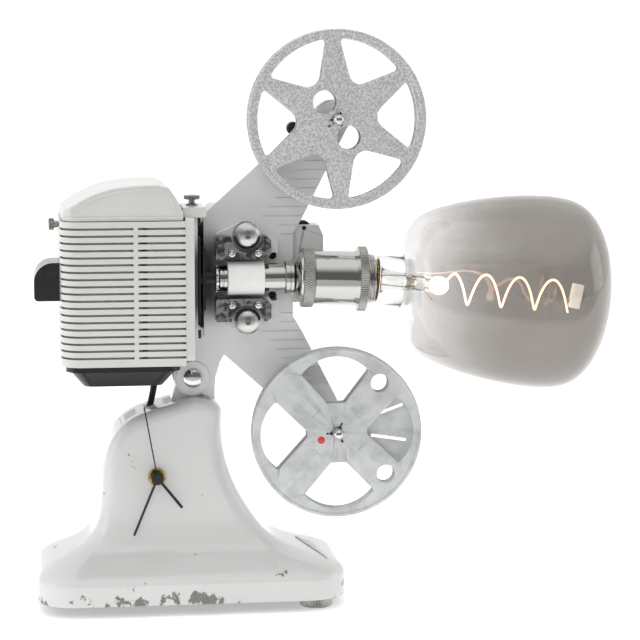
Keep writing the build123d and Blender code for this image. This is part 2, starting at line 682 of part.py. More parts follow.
# ---------------------------------------------------------------- lamp housing
def ring_grooves(x0, x1, y0, y1, corner):
    grooves = []
    for k in range(fin_count):
        z = housing_bottom + fin_first + k * fin_pitch - fin_groove / 2
        outer = block(x0 - 5, x1 + 5, y0 - 5, y1 + 5, z, z + fin_groove)
        core = extrude(rounded(x0 + fin_depth, x1 + 9, y0 + fin_depth, y1 - fin_depth, z - 1, corner),
                       amount=fin_groove + 2)
        grooves.append(outer - core)
    return grooves


def make_housing():
    x0, x1, y0, y1 = housing_left, housing_right, housing_front, housing_back
    shell = extrude(rounded(x0, x1 + housing_corner * 2, y0, y1, housing_bottom, housing_corner),
                    amount=housing_height)
    shell &= block(x0 - 5, x1, y0 - 5, y1 + 5, housing_bottom, housing_top)
    inner = extrude(rounded(x0 + housing_wall, x1 + housing_corner * 2, y0 + housing_wall,
                            y1 - housing_wall, housing_bottom - 1, housing_corner - housing_wall),
                    amount=housing_height + 2)
    shell -= inner
    for groove in ring_grooves(x0, x1, y0, y1, housing_corner):
        keep_rib = block(rib_x - rib_half, rib_x + rib_half, y0 - 6, y0 + 8, housing_bottom, housing_top)
        shell -= groove - keep_rib - pad_block()
    # slots through the wall between the grooves, behind the rib
    for k in range(fin_count):
        z = housing_bottom + fin_first + k * fin_pitch
        for side in (y0, y1):
            shell -= block(rib_x + 4, rib_x + 8, side - 6, side + 6, z - 0.7, z + 0.7)
    screw_z = housing_top - 5.0
    shell -= along_x(x0 - 2, x0 + 8, side_screw_y, screw_z, 1.6 + running)
    save("lamp_housing", shell)
    save("housing_lid", make_lid())
    make_tray()
    frame = block(housing_right, frame_right, y0 + 1, y1 - 1, housing_bottom + 3, housing_top + 2)
    frame = fillet(frame.edges().filter_by(Axis.X), 4)
    frame -= block(housing_right - 1, frame_right + 1, y0 + 12, y1 - 12, housing_bottom + 14, housing_top - 9)
    top_pad = block(lid_right + part_gap, frame_right + 9, -60, -18, housing_top + 2, housing_top + 9)
    top_pad = fillet(top_pad.edges().filter_by(Axis.Y), 1.5)
    top_pad -= along_z(lid_screw_x, lid_screw_y, housing_top, housing_top + 12, 1.6 + running)
    save("gate_frame", frame + top_pad)
    make_hood()
    make_thumbscrews()
    screws = []
    for z in (housing_bottom + 20, housing_top - 2):
        screws.append(along_x(case_left, case_left + 2.4, -50.0, z, 3.0))
    save("case_screws", *screws)


def pad_block():
    """The smooth pad on the left side that carries the hood."""
    return block(housing_left - 6, housing_left + 12, -44, 8, hood_bottom - 6, hood_top + 6)


def lid_outline(inset):
    """The lid seen from the front: a long rise from the left, then a steep fall."""
    z, t = housing_top, inset
    left = housing_left + 1.5
    line = Spline((left + t, z + 6.5 - t * 0.4), (-84.0, z + 12.5 - t), (-71.0, z + 19.0 - t),
                  (-55.0, z + 23.4 - t), (-40.0, z + 24.8 - t), (-27.0, z + lid_height - t))
    edge = Polyline(line @ 1, (lid_right - 9.5 - t * 0.7, z + lid_height - 2.2 - t),
                    (lid_right - 4.5 - t, z + 15.5), (lid_right - t, z + 6.5), (lid_right - t, z + 0.1 + t),
                    (left + t, z + 0.1 + t), line @ 0)
    return make_face(Wire([line] + list(edge.edges())))


def make_lid():
    z, t = housing_top, lid_wall
    y0, y1 = housing_front + 1, housing_back - 1
    lid = slab(lid_outline(0.0), y0, y1)
    lid = fillet(lid.edges().filter_by(Axis.Z).group_by(Axis.X)[0], housing_corner - 2)
    lid -= slab(lid_outline(t), y0 + t, y1 - t) & block(housing_left + 8, 0, y0, y1, z, z + 40)
    return lid - block(housing_left + 16, -17, y0 + 10, y1 - 10, z - 1, z + t + 2)


def make_tray():
    x0, x1 = housing_left + tray_inset, housing_right - tray_inset
    y0, y1 = housing_front + tray_inset, housing_back - tray_inset
    top = housing_bottom
    flange = extrude(rounded(x0, x1, y0, y1, top - tray_flange, housing_corner - 3), amount=tray_flange)
    dish = loft([rounded(x0 + 3, x1 - 3, y0 + 3, y1 - 3, top - tray_flange, housing_corner - 5),
                 rounded(x0 + tray_taper, x1 - tray_taper, y0 + tray_taper, y1 - tray_taper,
                         tray_bottom, housing_corner - 8)])
    tray = flange + dish
    t = tray_wall
    hollow = loft([rounded(x0 + 3 + t, x1 - 3 - t, y0 + 3 + t, y1 - 3 - t, top, housing_corner - 6),
                   rounded(x0 + tray_taper + t, x1 - tray_taper - t, y0 + tray_taper + t,
                           y1 - tray_taper - t, tray_bottom + t, housing_corner - 9)])
    tray -= hollow
    tray -= along_z(lead_top[0], lead_top[1], tray_bottom - 1, tray_bottom + 6, lead_diameter / 2 + 2 * part_gap)
    save("housing_tray", tray)


def make_hood():
    x1, y = housing_left, side_screw_y
    half = hood_width / 2
    body = block(x1 - hood_length, x1, y - half, y + half, hood_bottom, hood_top)
    body = fillet(body.edges().filter_by(Axis.Y).group_by(Axis.X)[0].sort_by(Axis.Z)[-1:], 13.5)
    body = fillet([e for e in body.edges().filter_by(Axis.Y)
                   if e.center().X < x1 - hood_length + 1 and e.center().Z < hood_bottom + 1], 3.0)
    save("rear_hood", body)


def make_thumbscrews():
    z0 = housing_top + 9
    top = along_z(lid_screw_x, lid_screw_y, z0, z0 + 1.2, 4.2)
    top += along_z(lid_screw_x, lid_screw_y, z0 + 1.2, z0 + 4.2, 2.2)
    top += along_z(lid_screw_x, lid_screw_y, z0 + 4.2, z0 + 7.2, 5.6)
    top += along_z(lid_screw_x, lid_screw_y, z0 - 6.5, z0, 1.6)
    save("lid_thumbscrew", top)
    x, y, z = housing_left, side_screw_y, housing_top - 5.0
    side = along_x(x - 7.1, x - 3.1, y, z, 4.2)
    side += along_x(x - 3.1, x - 0.3, y, z, 2.6)
    side += along_x(x - 0.3, x + 7, y, z, 1.6)
    save("side_thumbscrew", side)


# ---------------------------------------------------------------- lens mount and lamp socket
def make_lens_mount():
    y0, y1 = -9.0, 13.0
    z0, z1 = axis_height - 21.0, axis_height + 35.3
    outline = polygon((case_right, z0), (93.0, z0), (95.5, z0 + 3), (95.5, z1 - 8), (92.0, z1),
                      (case_right, z1))
    mount = slab(outline, y0, y1)
    mount -= along_y(wheel_x, wheel_z, y0 + 4.0, y0 + 12.0, wheel_radius + 0.5)
    mount -= block(wheel_x - wheel_radius, wheel_x + wheel_radius, y0 + 4.0, y0 + 12.0, wheel_z, z1 + 5)
    mount -= along_y(wheel_x, wheel_z, y0 - 1, y1 + 1, 1.5 + running)
    save("lens_mount", mount)
    wheel = along_y(wheel_x, wheel_z, y0 + 4.5, y0 + 11.5, wheel_radius)
    save("focus_wheel", wheel + along_y(wheel_x, wheel_z, y0, y1, 1.5))


def hang(shape, pivot_x, droop):
    """Turn a piece drawn along X so that it hangs by droop degrees about the pivot."""
    return Pos(pivot_x, axis_y, axis_height) * Rot(0, droop, 0) * shape


def tube(x0, x1, radius, bore):
    return turned([(x0, bore), (x0, radius), (x1, radius), (x1, bore)])


def make_socket():
    # everything on the threaded pipe, in distances from the tilt pin along the optical axis
    pipe = tube(frame_right - 6, 74.0, 5.0, 3.4)
    teeth = Circle(8.4)
    for k in range(10):
        teeth += Rot(0, 0, 36 * k) * Pos(8.6, 0) * Rectangle(2.4, 2.6)
    teeth -= Circle(5.05)
    washer = Pos(14.8, axis_y, axis_height) * Rot(0, 90, 0) * extrude(teeth, amount=2.2)
    at_axis = Pos(0, axis_y, axis_height)
    save("threaded_pipe", at_axis * pipe)
    save("toothed_washer", washer)
    bush = at_axis * tube(17.4, sleeve_start, 9.2, 5.05)
    neck = at_axis * tube(sleeve_end, 64.2, 10.2, 5.05)
    collar = at_axis * tube(64.2, pivot, 12.2, 5.05)
    save("pipe_bushes", bush, neck, collar)
    sleeve = tube(sleeve_start, sleeve_end, sleeve_radius, sleeve_radius - 1.6)
    for x in (sleeve_start, sleeve_end - 1.4):
        sleeve += tube(x, x + 1.4, sleeve_radius - 1, 5.05)
    save("insulating_sleeve", at_axis * sleeve)
    # socket pieces, in distances from the pivot at the collar's end
    w = socket_wall
    s = socket_shell_radius
    dome = turned([(0.7, 5.6), (0.7, 12.0), (1.6, 14.6), (3.6, 17.6), (6.4, 18.9), (9.6, 18.9),
                   (9.6, 18.9 - w), (6.6, 18.9 - w), (4.2, 16.6), (2.6, 13.8), (1.9, 12.0), (1.9, 5.6)])
    save("socket_cap", hang(dome, pivot, socket_droop))
    rear = tube(5.7, 13.9, ring_rear_radius, 18.95)
    front = tube(46.6, 51.8, ring_front_radius, s + 0.05)
    save("socket_rings", hang(rear, pivot, socket_droop), hang(front, pivot, socket_droop))
    shell = turned([(9.9, 14.5), (9.9, 18.9), (13.9, 18.9), (14.0, s), (51.9, s), (52.0, s - 1.8),
                    (socket_end, s - 1.8), (socket_end, s - 1.8 - w), (12.4, s - 1.8 - w), (12.4, 14.5)])
    save("socket_shell", hang(shell, pivot, socket_droop))
    insert = turned([(10.2, 6.2), (10.2, 14.2), (20.0, 14.2), (20.0, 16.2), (47.0, 16.2), (47.0, 14.8),
                     (22.0, 14.8), (22.0, 6.2)])
    save("socket_insert", hang(insert, pivot, socket_droop))


def glass_curve(wall):
    """Half outline of the glass shrunk by wall: a curve of (distance from the front ring, radius)."""
    r = bulb_radius
    rows = [(28.6, bulb_neck_radius), (29.6, 22.0), (30.6, 30.0), (32.4, 38.0), (36.5, 45.5),
            (44.0, 51.5), (57.0, 57.0), (75.0, 62.2), (97.0, 66.6), (118.0, r - 0.4), (136.0, r),
            (151.0, r * 0.963), (162.0, r * 0.86), (170.3, r * 0.685), (175.3, r * 0.485),
            (178.2, r * 0.24), (bulb_length, 0.0)]
    middle = (rows[0][0] + bulb_length) / 2
    share_x = 1 - wall / (bulb_length - middle)
    share_r = 1 - wall / r
    moved = [(middle + (a - middle) * share_x, b * share_r) for a, b in rows]
    moved[0] = (moved[0][0], bulb_neck_radius - wall)
    return Spline(*moved, tangents=[(0.5, 1), (0, -1)])


def glass_shell():
    outer, inner = glass_curve(0.0), glass_curve(glass_wall)
    neck = Polyline(outer @ 0, (neck_start, bulb_neck_radius), (neck_start, 0),
                    (neck_start + glass_wall, 0), (neck_start + glass_wall, bulb_neck_radius - glass_wall), inner @ 0)
    end = Line(outer @ 1, inner @ 1)
    return revolve(make_face(Wire([outer, inner, end] + list(neck.edges()))), axis=Axis.X, revolution_arc=360)


def make_bulb():
    ring_x = pivot + front_x * cos(radians(socket_droop))
    ring_z = axis_height - front_x * sin(radians(socket_droop))
    place = Pos(ring_x, axis_y, ring_z) * Rot(0, bulb_droop, 0)
    save("bulb_glass", place * glass_shell())
    cap = turned([(-22.5, 0), (-22.5, 4.0), (-19.5, 6.5), (-17.5, cap_screw_radius - 0.6),
                  (4.0, cap_screw_radius - 0.6), (neck_start, bulb_neck_radius - 3.2), (neck_start, 0)])
    save("bulb_cap", place * cap)
    foot = neck_start + glass_wall
    stem = turned([(foot, 0), (foot, 9.0), (22.0, 7.0), (38.0, 4.6), (62.0, 4.2), (64.0, 0)])
    save("bulb_stem", place * stem)
    filament = turned([(64.2, 0), (64.2, 2.0), (78.0, 12.0), (150.0, 12.0), (158.0, 2.0), (158.0, 0)])
    save("filament", place * filament)


# ---------------------------------------------------------------- lead between head and column
def lead_points():
    """Top, bend and lower end of the lead."""
    return ((lead_top[0], lead_top[1], tray_bottom + tray_wall), (lead_bend[0], lead_top[1], lead_bend[1]),
            (lead_bottom[0], lead_bottom[1], lead_end))


def lead_lower_run(radius):
    """A straight bar along the lead's lower run, which makes its hole in the cap."""
    _, middle, foot = lead_points()
    run = Vector(*foot) - Vector(*middle)
    return extrude(Plane(origin=middle, z_dir=run) * Circle(radius), amount=run.length)


def make_lead():
    top, middle, foot = lead_points()
    runs = [(Vector(*middle) - Vector(*top)).length, (Vector(*foot) - Vector(*middle)).length]
    turn = (Vector(*middle) - Vector(*top)).get_angle(Vector(*foot) - Vector(*middle))
    radius = 0.45 * min(runs) / tan(radians(turn / 2))
    print("head lead arc radius", round(radius, 1), "mm, length", round(sum(runs), 1), "mm")
    path = FilletPolyline(top, middle, foot, radius=radius)
    section = Plane(origin=path @ 0, z_dir=path % 0) * Circle(lead_diameter / 2)
    save("head_lead", sweep(section, path=path))


# ---------------------------------------------------------------- build, move to the origin, write
def main():
    make_base()
    make_base_fittings()
    make_clock()
    make_plate()
    make_case()
    make_drive()
    make_film_path()
    make_reels()
    make_guide_roller()
    make_housing()
    make_lens_mount()
    make_socket()
    make_bulb()
    make_lead()
    boxes = [shape.bounding_box() for shape in parts.values()]
    low = [min(getattr(b.min, k) for b in boxes) for k in "XYZ"]
    high = [max(getattr(b.max, k) for b in boxes) for k in "XYZ"]
    shift = (-(low[0] + high[0]) / 2, -(low[1] + high[1]) / 2, -low[2])
    os.makedirs("parts", exist_ok=True)
    for name, shape in parts.items():
        export_step(Pos(*shift) * shape, f"parts/{name}.step")
    print("shift", [round(v, 3) for v in shift], "size", [round(h - l, 1) for l, h in zip(low, high)])


main()
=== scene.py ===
import json
from math import cos, pi, radians, sin

import bmesh
import bpy
from mathutils import Matrix, Vector


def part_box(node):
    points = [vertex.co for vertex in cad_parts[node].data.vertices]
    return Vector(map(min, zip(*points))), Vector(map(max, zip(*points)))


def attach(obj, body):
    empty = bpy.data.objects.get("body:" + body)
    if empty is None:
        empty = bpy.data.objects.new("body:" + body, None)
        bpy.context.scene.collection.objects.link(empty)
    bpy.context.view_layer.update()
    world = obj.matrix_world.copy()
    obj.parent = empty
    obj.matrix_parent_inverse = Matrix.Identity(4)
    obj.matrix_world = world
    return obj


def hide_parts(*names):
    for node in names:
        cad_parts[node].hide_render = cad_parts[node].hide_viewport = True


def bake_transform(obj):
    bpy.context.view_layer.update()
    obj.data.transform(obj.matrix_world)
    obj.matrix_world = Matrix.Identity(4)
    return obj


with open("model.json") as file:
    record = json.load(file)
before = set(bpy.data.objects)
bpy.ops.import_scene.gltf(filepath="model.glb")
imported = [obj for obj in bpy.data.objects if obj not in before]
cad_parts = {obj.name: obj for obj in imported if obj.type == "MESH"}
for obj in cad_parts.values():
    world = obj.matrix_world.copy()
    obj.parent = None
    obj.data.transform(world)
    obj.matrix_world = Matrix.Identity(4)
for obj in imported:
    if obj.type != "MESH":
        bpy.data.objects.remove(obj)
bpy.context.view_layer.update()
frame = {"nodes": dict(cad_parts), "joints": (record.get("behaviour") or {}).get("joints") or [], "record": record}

MM = 0.001
skirt_height = 14.0              # mm, upright band of the foot above its lower edge
chip_middle = -103 * MM          # where along the foot the enamel has chipped most
nodes = frame["nodes"]
joints = {joint["name"]: joint for joint in frame["joints"]}


# ---------------------------------------------------------------- places taken from the frame
def middle(node):
    """Middle of a CAD node's box, in metres."""
    low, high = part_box(node)
    return (low + high) / 2


bulb_start = Vector(joints["bulb_turn"]["pos_m"])          # middle of the socket's front ring
bulb_way = Vector(joints["bulb_turn"]["axis"]).normalized()
pipe_line = middle("toothed_washer")                        # a point on the optical axis
collar_end = Vector((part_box("pipe_bushes")[1].x, pipe_line.y, pipe_line.z))
socket_way = (bulb_start - collar_end).normalized()
optical_way = Vector((1, 0, 0))
upper_hub = Vector(joints["upper_reel_turn"]["pos_m"])
lower_hub = Vector(joints["lower_reel_turn"]["pos_m"])


# ---------------------------------------------------------------- mesh helpers
def new_piece(name, verts, faces, body, slot, finish, replaced=(), crease=38):
    """A finished mesh piece that rides a body (or none) and may stand for CAD nodes. Its slot argument is not used."""
    mesh = bpy.data.meshes.new(name)
    mesh.from_pydata([tuple(v) for v in verts], [], faces)
    mesh.validate()
    mesh.shade_smooth()
    mesh.set_sharp_from_angle(angle=radians(crease))
    mesh.materials.append(finish)
    made = bpy.data.objects.new(name, mesh)
    bpy.context.scene.collection.objects.link(made)
    if body:
        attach(made, body)
    if replaced:
        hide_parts(*replaced)
    return made


def across(way):
    """Two directions square to a way: the first as near upright as it can be."""
    side = way.cross(Vector((0, 0, 1))) if abs(way.z) < 0.9 else way.cross(Vector((0, 1, 0)))
    side.normalize()
    return side.cross(way).normalized(), side


def rings(profile, start, way, count, swell=None):
    """Points and faces of a turned body; profile holds (distance along way, radius) in mm.
    swell(distance, angle, radius) may add to the radius, for knurls and threads."""
    up, side = across(way)
    verts, faces, rows = [], [], []
    for along, radius in profile:
        if radius < 1e-6:
            rows.append([len(verts)])
            verts.append(start + way * along * MM)
            continue
        row = []
        for k in range(count):
            angle = 2 * pi * k / count
            r = radius + (swell(along, angle, radius) if swell else 0.0)
            row.append(len(verts))
            verts.append(start + way * along * MM + (up * cos(angle) + side * sin(angle)) * r * MM)
        rows.append(row)
    for one, two in zip(rows, rows[1:]):
        for k in range(count):
            n = (k + 1) % count
            if len(one) == 1 and len(two) == 1:
                continue
            if len(one) == 1:
                faces.append((one[0], two[n], two[k]))
            elif len(two) == 1:
                faces.append((one[k], one[n], two[0]))
            else:
                faces.append((one[k], one[n], two[n], two[k]))
    return verts, faces


def joined(*parts):
    """Several (points, faces) as one."""
    verts, faces = [], []
    for some, others in parts:
        shift = len(verts)
        verts += list(some)
        faces += [tuple(i + shift for i in face) for face in others]
    return verts, faces


def closed(profile):
    """The same profile, ending where it started, so that the turned body is a closed ring."""
    return list(profile) + [profile[0]]


def stepped(along0, along1, radius, step):
    """Many stations along a straight stretch, for knurls and threads."""
    count = max(2, int(round((along1 - along0) / step)))
    return [(along0 + (along1 - along0) * k / count, radius) for k in range(count + 1)]


def tube(points, radius, sides=10, ends=True):
    """A round wire through points in metres; radius in mm, one value or one for each point."""
    verts, faces = [], []
    up = None
    for i, p in enumerate(points):
        way = (points[min(i + 1, len(points) - 1)] - points[max(i - 1, 0)]).normalized()
        up = across(way)[0] if up is None else (up - way * up.dot(way)).normalized()
        side = way.cross(up)
        r = (radius[i] if isinstance(radius, (list, tuple)) else radius) * MM
        for k in range(sides):
            angle = 2 * pi * k / sides
            verts.append(p + (up * cos(angle) + side * sin(angle)) * r)
    for i in range(len(points) - 1):
        for k in range(sides):
            a, b = i * sides + k, i * sides + (k + 1) % sides
            faces.append((a, b, b + sides, a + sides))
    if ends:
        faces.append(tuple(reversed(range(sides))))
        faces.append(tuple(range((len(points) - 1) * sides, len(points) * sides)))
    return verts, faces


def smooth_path(points, count):
    """A Catmull-Rom curve through given points."""
    held = [points[0] * 2 - points[1]] + list(points) + [points[-1] * 2 - points[-2]]
    path = []
    spans = len(points) - 1
    for n in range(count):
        t = n / (count - 1) * spans
        i = min(int(t), spans - 1)
        t -= i
        a, b, c, d = held[i:i + 4]
        path.append(0.5 * ((2 * b) + (c - a) * t + (2 * a - 5 * b + 4 * c - d) * t * t
                           + (3 * b - a - 3 * c + d) * t ** 3))
    return path


def rounded_block(size, centre, edge, turn=None):
    """A block with rounded edges: size, centre and edge radius in mm, turn a rotation matrix."""
    shape = bmesh.new()
    bmesh.ops.create_cube(shape, size=1.0)
    bmesh.ops.scale(shape, vec=Vector(size) * MM, verts=shape.verts)
    bmesh.ops.bevel(shape, geom=shape.edges, offset=edge * MM, segments=3, profile=0.5, affect="EDGES")
    if turn:
        bmesh.ops.transform(shape, matrix=turn, verts=shape.verts)
    bmesh.ops.translate(shape, vec=Vector(centre), verts=shape.verts)
    verts = [v.co.copy() for v in shape.verts]
    faces = [tuple(v.index for v in face.verts) for face in shape.faces]
    shape.free()
    return verts, faces


# ---------------------------------------------------------------- material helpers
def linear(hex_code):
    """An sRGB hex value as the linear colour that shaders take."""
    values = [int(hex_code[i:i + 2], 16) / 255 for i in (0, 2, 4)]
    return tuple(v / 12.92 if v <= 0.04045 else ((v + 0.055) / 1.055) ** 2.4 for v in values) + (1.0,)


def add(tree, kind, sockets=None, **settings):
    """Adds a shader node, sets its properties, then gives its sockets values, or links from nodes."""
    made = tree.nodes.new("ShaderNode" + kind)
    for key, value in settings.items():
        setattr(made, key, value)
    for key, value in (sockets or {}).items():
        if isinstance(value, bpy.types.Node):
            value = next(socket for socket in value.outputs if socket.enabled)
        if isinstance(value, bpy.types.NodeSocket):
            tree.links.new(value, made.inputs[key])
        else:
            made.inputs[key].default_value = value
    return made


def start_material(name):
    """A material's tree, emptied, and the position on the piece that its patterns are laid out by."""
    made = bpy.data.materials.new(name)
    made.use_nodes = True
    made.node_tree.nodes.clear()
    return made, made.node_tree, add(made.node_tree, "TexCoord").outputs["Object"]


def close_material(made, tree, sockets):
    """Ends a material in its one shader."""
    add(tree, "OutputMaterial", {"Surface": add(tree, "BsdfPrincipled", sockets)})
    return made


def scale_of(size_mm):
    """The texture scale that makes lumps or cells about size_mm across. Orange peel, dust and tool
    marks finer than the sizes used here are drawn coarser than real, or they would be lost."""
    return 1000.0 / size_mm


soft = {"interpolation_type": "SMOOTHSTEP"}
tint = {"data_type": "RGBA"}


# ---------------------------------------------------------------- materials
def stoved_enamel():
    """Gloss stoved enamel on cast iron: a wet-looking off-white with faint orange peel. Along the
    foot it has chipped away to dark grey iron in ragged islands and pin-prick specks."""
    made, tree, where = start_material("stoved_enamel_on_iron")
    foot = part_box("base_casting")[0].z
    skirt = foot + skirt_height * MM
    place = add(tree, "SeparateXYZ", {0: where}).outputs
    near_foot = add(tree, "MapRange", {"Value": place[2], "From Min": skirt + 9 * MM,
                                       "From Max": foot + 2 * MM}, **soft)
    aside = add(tree, "Math", {0: place[0], 1: chip_middle}, operation="SUBTRACT")
    aside = add(tree, "Math", {0: aside}, operation="ABSOLUTE")
    front_run = add(tree, "MapRange", {"Value": aside, "From Min": 78 * MM, "From Max": 35 * MM}, **soft)
    islands = add(tree, "TexNoise", {"Vector": where, "Scale": scale_of(21.0), "Detail": 7.0,
                                     "Roughness": 0.66})
    specks = add(tree, "TexNoise", {"Vector": where, "Scale": scale_of(5.5), "Detail": 6.0,
                                    "Roughness": 0.72})
    share = add(tree, "Math", {0: near_foot, 1: 0.075}, operation="MULTIPLY")
    more = add(tree, "Math", {0: front_run, 1: near_foot}, operation="MULTIPLY")
    more = add(tree, "Math", {0: more, 1: 0.095}, operation="MULTIPLY")
    share = add(tree, "Math", {0: share, 1: more}, operation="ADD")
    reach = add(tree, "Math", {0: islands, 1: share}, operation="ADD")
    chipped = add(tree, "MapRange", {"Value": reach, "From Min": 0.668, "From Max": 0.676}, **soft)
    rim = add(tree, "MapRange", {"Value": reach, "From Min": 0.650, "From Max": 0.672, "To Max": 0.35},
              **soft)
    pricks = add(tree, "Math", {0: share, 1: 0.75}, operation="MULTIPLY")
    pricks = add(tree, "Math", {0: specks, 1: pricks}, operation="ADD")
    pricked = add(tree, "MapRange", {"Value": pricks, "From Min": 0.775, "From Max": 0.785}, **soft)
    bare = add(tree, "Math", {0: chipped, 1: pricked}, operation="MAXIMUM")
    drift = add(tree, "TexNoise", {"Vector": where, "Scale": scale_of(60.0), "Detail": 2.0,
                                   "Roughness": 0.55})
    white = add(tree, "Mix", {0: drift, 6: linear("CFD0CE"), 7: linear("D9DAD8")}, **tint)
    white = add(tree, "Mix", {0: rim, 6: white, 7: linear("A9A59C")}, **tint)
    grit = add(tree, "TexNoise", {"Vector": where, "Scale": scale_of(1.6), "Detail": 5.0,
                                  "Roughness": 0.55})
    iron = add(tree, "Mix", {0: grit, 6: linear("5C5B58"), 7: linear("8E8C87")}, **tint)
    tone = add(tree, "Mix", {0: bare, 6: white, 7: iron}, **tint)
    rough = add(tree, "MapRange", {"Value": bare, "To Min": 0.16, "To Max": 0.58})
    peel = add(tree, "TexNoise", {"Vector": where, "Scale": scale_of(3.5), "Detail": 2.0,
                                  "Roughness": 0.55})
    peel = add(tree, "Math", {0: peel, 1: 0.18}, operation="MULTIPLY")
    relief = add(tree, "Math", {0: peel, 1: bare}, operation="SUBTRACT")
    return close_material(made, tree, {
        "Base Color": tone, "Roughness": rough, "IOR": 1.52, "Coat Weight": 0.5, "Coat Roughness": 0.05,
        "Normal": add(tree, "Bump", {"Height": relief, "Distance": 0.22 * MM})})


def sprayed_satin_grey():
    """Sprayed satin grey paint on castings: fine orange peel, edges rubbed to a duller grey, and
    painted shade beside the film gate, where the plate is darkened nearly to black."""
    made, tree, where = start_material("sprayed_satin_grey")
    drift = add(tree, "TexNoise", {"Vector": where, "Scale": scale_of(45.0), "Detail": 3.0,
                                   "Roughness": 0.55})
    tone = add(tree, "Mix", {0: drift, 6: linear("D2D4D3"), 7: linear("DEE0DF")}, **tint)
    broken = add(tree, "TexNoise", {"Vector": where, "Scale": scale_of(3.0), "Detail": 3.0,
                                    "Roughness": 0.55})
    broken = add(tree, "Math", {0: broken, 1: 0.06}, operation="MULTIPLY")
    edges = add(tree, "Math", {0: add(tree, "NewGeometry").outputs["Pointiness"], 1: broken},
                operation="ADD")
    edge_tone = add(tree, "MapRange", {"Value": edges, "From Min": 0.575, "From Max": 0.62, "To Max": 0.35},
               **soft)
    tone = add(tree, "Mix", {0: edge_tone, 6: tone, 7: linear("8F8D89")}, **tint)
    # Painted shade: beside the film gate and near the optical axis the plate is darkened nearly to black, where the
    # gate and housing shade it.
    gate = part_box("gate_frame")[1].x
    place = add(tree, "SeparateXYZ", {0: where}).outputs
    beside = add(tree, "MapRange", {"Value": place[0], "From Min": gate + 19 * MM,
                                    "From Max": gate + 5 * MM}, **soft)
    level = add(tree, "Math", {0: place[2], 1: pipe_line.z}, operation="SUBTRACT")
    level = add(tree, "Math", {0: level}, operation="ABSOLUTE")
    level = add(tree, "MapRange", {"Value": level, "From Min": 40 * MM, "From Max": 14 * MM,
                                   "To Max": 0.93}, **soft)
    painted_gate_shade = add(tree, "Math", {0: beside, 1: level}, operation="MULTIPLY")
    dulled = add(tree, "TexNoise", {"Vector": where, "Scale": scale_of(9.0), "Detail": 4.0,
                                    "Roughness": 0.55})
    peel = add(tree, "TexNoise", {"Vector": where, "Scale": scale_of(1.4), "Detail": 2.0,
                                  "Roughness": 0.55})
    return close_material(made, tree, {
        "Base Color": add(tree, "Mix", {0: painted_gate_shade, 6: tone, 7: linear("1C1B1A")}, **tint),
        "Roughness": add(tree, "MapRange", {"Value": dulled, "From Min": 0.3, "From Max": 0.7,
                                            "To Min": 0.33, "To Max": 0.46}, **soft),
        "IOR": 1.5, "Normal": add(tree, "Bump", {"Height": peel, "Distance": 0.035 * MM})})


def aged_gloss_paint():
    """Old gloss paint on the ribbed casting: bright bands, dirt and painted shade in the grooves, small flecks."""
    made, tree, where = start_material("aged_gloss_paint_on_casting")
    # Painted shade with dirt: the colour is darkened where ambient occlusion finds the grooves.
    hollow = add(tree, "AmbientOcclusion", {"Distance": 3.2 * MM}, samples=8).outputs["AO"]
    grime_and_painted_shade = add(tree, "MapRange", {"Value": hollow, "From Min": 0.62, "From Max": 0.12,
                                   "To Max": 0.92}, **soft)
    flecks = add(tree, "TexNoise", {"Vector": where, "Scale": scale_of(2.6), "Detail": 4.0,
                                    "Roughness": 0.7})
    flecks = add(tree, "MapRange", {"Value": flecks, "From Min": 0.70, "From Max": 0.73,
                                    "To Max": 0.45}, **soft)
    drift = add(tree, "TexNoise", {"Vector": where, "Scale": scale_of(30.0), "Detail": 3.0,
                                   "Roughness": 0.55})
    tone = add(tree, "Mix", {0: drift, 6: linear("CFCECA"), 7: linear("DBDCDA")}, **tint)
    tone = add(tree, "Mix", {0: flecks, 6: tone, 7: linear("8C867A")}, **tint)
    peel = add(tree, "TexNoise", {"Vector": where, "Scale": scale_of(1.2), "Detail": 2.0,
                                  "Roughness": 0.55})
    return close_material(made, tree, {
        "Base Color": add(tree, "Mix", {0: grime_and_painted_shade, 6: tone, 7: linear("77736A")}, **tint),
        "Roughness": add(tree, "MapRange", {"Value": hollow, "From Min": 0.5, "From Max": 1.0,
                                            "To Min": 0.6, "To Max": 0.24}, **soft),
        "IOR": 1.5, "Coat Weight": 0.25,
        "Normal": add(tree, "Bump", {"Height": peel, "Distance": 0.04 * MM})})


def hammered_enamel():
    """Hammered grey enamel on a die-cast reel: small rounded dimples that sparkle."""
    made, tree, where = start_material("hammered_grey_enamel")
    lumps = add(tree, "TexNoise", {"Vector": where, "Scale": scale_of(1.5), "Detail": 2.0,
                                   "Roughness": 0.6})
    light = add(tree, "MapRange", {"Value": lumps, "From Min": 0.35, "From Max": 0.65}, **soft)
    tone = add(tree, "Mix", {0: light, 6: linear("BDBEBE"), 7: linear("E9EAE9")}, **tint)
    broken = add(tree, "TexNoise", {"Vector": where, "Scale": scale_of(2.0), "Detail": 3.0,
                                    "Roughness": 0.55})
    broken = add(tree, "Math", {0: broken, 1: 0.06}, operation="MULTIPLY")
    edges = add(tree, "Math", {0: add(tree, "NewGeometry").outputs["Pointiness"], 1: broken},
                operation="ADD")
    # The pointy (convex) edges are lightened towards near white, which makes the light lip round the windows.
    edge_tone = add(tree, "MapRange", {"Value": edges, "From Min": 0.56, "From Max": 0.60, "To Max": 0.6},
               **soft)
    return close_material(made, tree, {
        "Base Color": add(tree, "Mix", {0: edge_tone, 6: tone, 7: linear("EDEDED")}, **tint),
        "Metallic": 0.45, "Roughness": 0.36, "IOR": 1.5,
        "Normal": add(tree, "Bump", {"Height": lumps, "Distance": 0.28 * MM})})


